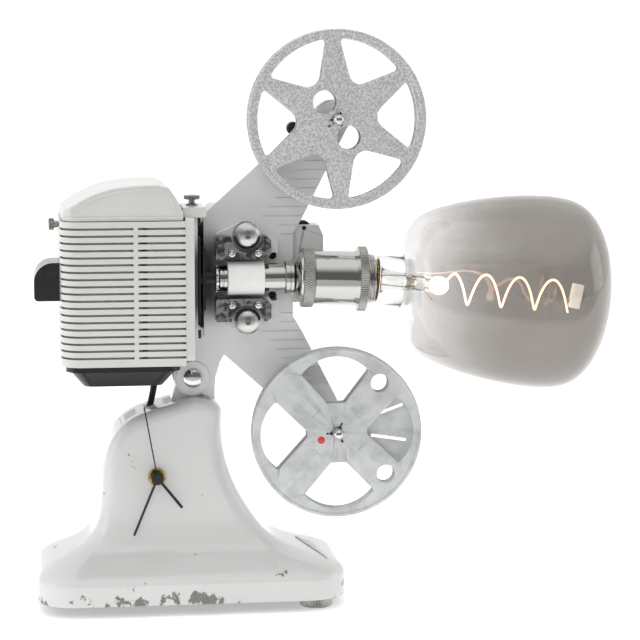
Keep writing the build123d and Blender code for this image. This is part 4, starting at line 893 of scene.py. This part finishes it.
def make_knobs():
    up = Vector((0, 0, 1))
    knob("lid_knob", "lid_thumbscrew", "lid_thumbscrew", up, "knurled_steel", knurled,
         [(0, 0), (0, 1.2), (0.4, 1.55), (6.4, 1.55), (6.5, 3.6), (6.8, 4.2), (7.4, 4.2), (7.7, 3.7), (8.0, 2.4),
          (10.4, 2.2), (10.7, 4.9), (11.0, 5.5)] + stepped(11.1, 13.2, 5.6, 0.35) +
         [(13.4, 5.4), (13.7, 4.8), (13.7, 3.2), (13.3, 2.8), (13.3, 0)], 44, 0.4, 11.0, 13.3)
    knob("side_knob", "side_thumbscrew", "side_thumbscrew", Vector((-1, 0, 0)), "knurled_steel", knurled,
         [(0, 0), (0, 1.2), (0.4, 1.55), (7.2, 1.55), (7.3, 2.4), (10.0, 2.6), (10.2, 3.7), (10.4, 4.1)] +
         stepped(10.5, 13.5, 4.2, 0.35) + [(13.8, 4.0), (14.1, 3.5), (14.1, 0)], 32, 0.35, 10.4, 13.6)
    knob("levelling_knob", "levelling_screw", "levelling_foot", up, "knurled_steel", knurled,
         [(0, 0), (0, 10.4), (0.5, 11.2)] + stepped(0.8, 7.2, 11.5, 0.5) +
         [(7.5, 11.2), (8.0, 10.5), (8.0, 4.0), (17.3, 4.0), (17.5, 3.6), (17.5, 0)], 60, 0.5, 0.7, 7.3)
    wheel_low, wheel_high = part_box("focus_wheel")
    width = (wheel_high.y - wheel_low.y) / MM
    knob("focus_roller", "focus_wheel", "focus_wheel", Vector((0, 1, 0)), "black_plastic", plastic,
         [(0, 0), (0, 1.4), (4.5, 1.5), (4.6, 4.6)] + stepped(4.8, 11.2, 5.3, 0.4) +
         [(11.4, 4.6), (11.5, 1.5), (width, 1.4), (width, 0)], 22, 0.6, 4.7, 11.3)


make_knobs()


# ---------------------------------------------------------------- reels
def place_on(hub, angle, reach, y):
    """A point on a reel's face: angle in degrees from +X, reach in mm from its hub."""
    return Vector((hub.x + reach * MM * cos(radians(angle)), y, hub.z + reach * MM * sin(radians(angle))))


def make_reel_marks():
    """Four pressed tabs and a red locating dab in a dimple on the lower reel's front flange."""
    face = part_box("lower_reel_front")[0].y + 0.5 * MM
    tabs = []
    for k in range(4):
        angle = 47 + 90 * k
        turn = Matrix.Rotation(radians(-angle - 90), 4, "Y")
        tabs.append(rounded_block((9.0, 1.0, 1.1), place_on(lower_hub, angle, 20.5, face - 0.05 * MM), 0.4, turn))
    new_piece("reel_tabs", *joined(*tabs), "lower_reel", "bare_aluminium", aluminium)
    dab_at = place_on(lower_hub, 203, 12.7, face + 0.25 * MM)
    front = Vector((0, -1, 0))
    new_piece("reel_dab", *rings([(0, 0), (0, 2.7), (0.45, 2.7), (0.62, 2.3), (0.62, 0)], dab_at, front, 40),
              "lower_reel", "black_plastic", red_dab)
    new_piece("reel_dab_ring", *rings(closed([(0.1, 2.75), (0.1, 3.5), (0.4, 3.4), (0.5, 3.1), (0.4, 2.75)]),
                                      dab_at, front, 40), "lower_reel", "bare_aluminium", aluminium)


def make_reel_keys():
    """The key on each spindle, made as three chamfered blocks standing round the ball."""
    for name, hub, body in (("upper", upper_hub, "upper_reel"), ("lower", lower_hub, "lower_reel")):
        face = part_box(name + "_reel_front")[0].y
        keys = []
        for k in range(3):
            angle = 65 + 120 * k
            turn = Matrix.Rotation(radians(-angle), 4, "Y")
            keys.append(rounded_block((2.6, 2.4, 1.3), place_on(hub, angle, 4.1, face - 0.6 * MM), 0.25, turn))
        new_piece(name + "_spindle_keys", *joined(*keys), body, "black_steel", black_steel)


make_reel_marks()
make_reel_keys()


# ---------------------------------------------------------------- housing trim
def make_lid_beads():
    """Beads cast on the lid: one round its front outline, one along its lower edge."""
    low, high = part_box("housing_lid")
    face, inset, proud = low.y, 3.2, 0.7
    rise = [(1.5 + inset, 6.5), (9.5 + inset * 0.6, 12.5 - inset), (22.5, 19.0 - inset), (38.5, 23.4 - inset),
            (53.5, 24.8 - inset), (66.5, 25.0 - inset)]
    outline = smooth_path([Vector((low.x + x * MM, face, low.z + z * MM)) for x, z in rise], 60)
    right = high.x - low.x
    for x, z in ((right / MM - 11.5, 22.0 - inset), (right / MM - 8.6, 15.0), (right / MM - 4.4, 5.2)):
        outline.append(Vector((low.x + x * MM, face, low.z + z * MM)))
    corner = 13.0 * MM
    z = low.z + 2.6 * MM
    skirt = [Vector((high.x, low.y, z)), Vector((low.x + corner, low.y, z))]
    for k in range(1, 9):
        angle = pi / 2 * k / 8
        skirt.append(Vector((low.x + corner * (1 - sin(angle)), low.y + corner * (1 - cos(angle)), z)))
    for k in range(9):
        angle = pi / 2 * k / 8
        skirt.append(Vector((low.x + corner * (1 - cos(angle)), high.y - corner * (1 - sin(angle)), z)))
    skirt.append(Vector((high.x, high.y, z)))
    new_piece("lid_beads", *joined(tube(outline, proud, 10), tube(skirt, 0.75, 10)), "lid", "housing_paint",
              housing, (), 60)


def slotted_heads(name, places, way, radius, height, body, slot, finish):
    """Domed screw heads with a cut slot; places are the middles of their seats."""
    heads = []
    for k, place in enumerate(places):
        profile = [(0, radius)] + [(height * sin(pi / 2 * i / 7), radius * cos(pi / 2 * i / 7) ** 0.6)
                                   for i in range(1, 7)] + [(height, 0.0)]
        verts, faces = rings(profile, place, way, 48)
        up, side = across(way)
        slant = 0.7 + 1.9 * k
        cut = up * cos(slant) + side * sin(slant)
        for i, v in enumerate(verts):
            off = (v - place).dot(cut) / MM
            if abs(off) < radius * 0.2:
                verts[i] = v - way * min((v - place).dot(way), height * 0.55 * MM)
        heads.append((verts, faces))
    new_piece(name, *joined(*heads), body, slot, finish, (), 30)


def make_screw_heads():
    """Slotted heads over the plain CAD heads of the shoes' and plate's screws."""
    node = nodes["shoe_screws"]
    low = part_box("shoe_screws")[0].y
    shape = bmesh.new()
    shape.from_mesh(node.data)
    bmesh.ops.remove_doubles(shape, verts=shape.verts, dist=2e-6)
    islands, seen = [], set()
    for vert in shape.verts:
        if vert.index in seen:
            continue
        stack, island = [vert], []
        seen.add(vert.index)
        while stack:
            one = stack.pop()
            island.append(one.co.copy())
            for edge in one.link_edges:
                other = edge.other_vert(one)
                if other.index not in seen:
                    seen.add(other.index)
                    stack.append(other)
        islands.append(island)
    shape.free()
    bright, dark = [], []
    for island in islands:
        front = min(v.y for v in island)
        centre = Vector((sum(v.x for v in island), 0, sum(v.z for v in island))) / len(island)
        (bright if front < low + 1 * MM else dark).append(Vector((centre.x, front, centre.z)))
    out = Vector((0, -1, 0))
    slotted_heads("shoe_screw_heads", bright, out, 2.6, 1.0, "head", "plain_steel", chrome)
    slotted_heads("plate_screw_heads", dark, out, 2.7, 1.0, "head", "black_steel", black_steel)


make_lid_beads()
make_screw_heads()


# ---------------------------------------------------------------- twin flex between head and column
def make_flex():
    """Two cores side by side from the tray down into the cap."""
    low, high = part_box("head_lead")
    top = Vector((high.x - 2.2 * MM, (low.y + high.y) / 2, high.z))
    foot = Vector((low.x + 2.6 * MM, top.y, low.z))
    bend = foot.lerp(top, 0.49) + Vector((0.9 * MM, 0, 0))
    path = smooth_path([top, bend, foot], 48)
    cores = []
    for side, radius in ((-1.15, 1.3), (1.15, 1.3)):
        cores.append(tube([p + Vector((side * MM, side * 0.25 * MM, 0)) for p in path], radius, 14))
    made = new_piece("twin_flex", *joined(*cores), None, "lead_cover", flex, ["head_lead"], 60)
    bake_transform(made)


make_flex()


# ---------------------------------------------------------------- studio
def white_paper():
    """Matt white paper, with painted light: it glows a little where the lights stand behind it, and is painted greyer
    towards the front.
    """
    made, tree, where = start_material("white_paper_floor")
    ahead = add(tree, "SeparateXYZ", {0: where}).outputs[1]
    waves = add(tree, "TexNoise", {"Vector": where, "Scale": scale_of(400.0), "Detail": 2.0,
                                   "Roughness": 0.55})
    waves = add(tree, "Math", {0: waves, 1: 0.1}, operation="MULTIPLY")
    ahead = add(tree, "Math", {0: ahead, 1: waves}, operation="ADD")
    # Painted light and shade: brighter and glowing behind, greyer towards the front.
    lit = add(tree, "MapRange", {"Value": ahead, "From Min": -0.52, "From Max": -0.27}, **soft)
    return close_material(made, tree, {
        "Base Color": add(tree, "Mix", {0: lit, 6: linear("C6C6C6"), 7: linear("F6F6F6")}, **tint),
        "Roughness": 0.9, "Emission Color": (1.0, 1.0, 1.0, 1.0),
        "Emission Strength": add(tree, "Math", {0: lit, 1: 0.42}, operation="MULTIPLY")})


def make_studio():
    """A wide white floor, painted greyer well in front of the lamp, and soft lights in a surround that is white
    all round but dark behind the camera, so that polished pieces show dark bands."""
    half = 8.0
    sheet = bpy.data.meshes.new("floor")
    sheet.from_pydata([(-half, -half, 0), (half, -half, 0), (half, half, 0), (-half, half, 0)], [], [(0, 1, 2, 3)])
    floor = bpy.data.objects.new("floor", sheet)
    bpy.context.scene.collection.objects.link(floor)
    sheet.materials.append(white_paper())
    lights = (("front_fill", (-0.5, -2.4, 1.0), 1.8, 15.0, False), ("top_light", (-0.2, -0.3, 2.1), 1.6, 6.0, False),
              ("left_light", (-2.0, -0.5, 0.7), 1.2, 4.5, True), ("right_light", (2.0, -0.2, 0.8), 1.2, 3.0, True))
    for name, place, size, power, mirrored in lights:
        lamp = bpy.data.lights.new(name, "AREA")
        lamp.shape = "SQUARE"
        lamp.size = size
        lamp.energy = power
        holder = bpy.data.objects.new(name, lamp)
        bpy.context.scene.collection.objects.link(holder)
        holder.location = place
        holder.visible_glossy = mirrored
        aim = Vector((0, 0, 0.2)) - Vector(place)
        holder.rotation_euler = aim.to_track_quat("-Z", "Y").to_euler()
    world = bpy.data.worlds.new("studio_surround")
    bpy.context.scene.world = world
    world.use_nodes = True
    tree = world.node_tree
    tree.nodes.clear()
    way = add(tree, "SeparateXYZ", {0: add(tree, "TexCoord").outputs["Generated"]}).outputs
    behind = add(tree, "MapRange", {"Value": way[1], "From Min": -0.62, "From Max": 0.02}, **soft)
    above = add(tree, "MapRange", {"Value": way[2], "From Min": 0.42, "From Max": 0.85}, **soft)
    white = add(tree, "Math", {0: behind, 1: above}, operation="MAXIMUM")
    surround = add(tree, "Mix", {0: white, 6: (0.16, 0.16, 0.16, 1), 7: (1.0, 1.0, 1.0, 1)}, **tint)
    back = add(tree, "Background", {"Color": surround, "Strength": 1.02})
    add(tree, "OutputWorld", {"Surface": back})


def make_camera():
    """A long lens at the film side, a little to the left and above."""
    azimuth, elevation, distance = radians(-7.5), radians(7.2), 1.69
    aim = Vector((1.2, 18.8, 202.3)) * MM
    way = Vector((sin(azimuth) * cos(elevation), -cos(azimuth) * cos(elevation), sin(elevation)))
    lens = bpy.data.cameras.new("camera")
    lens.lens = 130.1
    lens.sensor_width = 36.0
    camera = bpy.data.objects.new("camera", lens)
    bpy.context.scene.collection.objects.link(camera)
    camera.location = aim + way * distance
    camera.rotation_euler = (-way).to_track_quat("-Z", "Y").to_euler()
    bpy.context.scene.camera = camera


make_studio()
make_camera()
bpy.context.scene.view_settings.view_transform = "Standard"
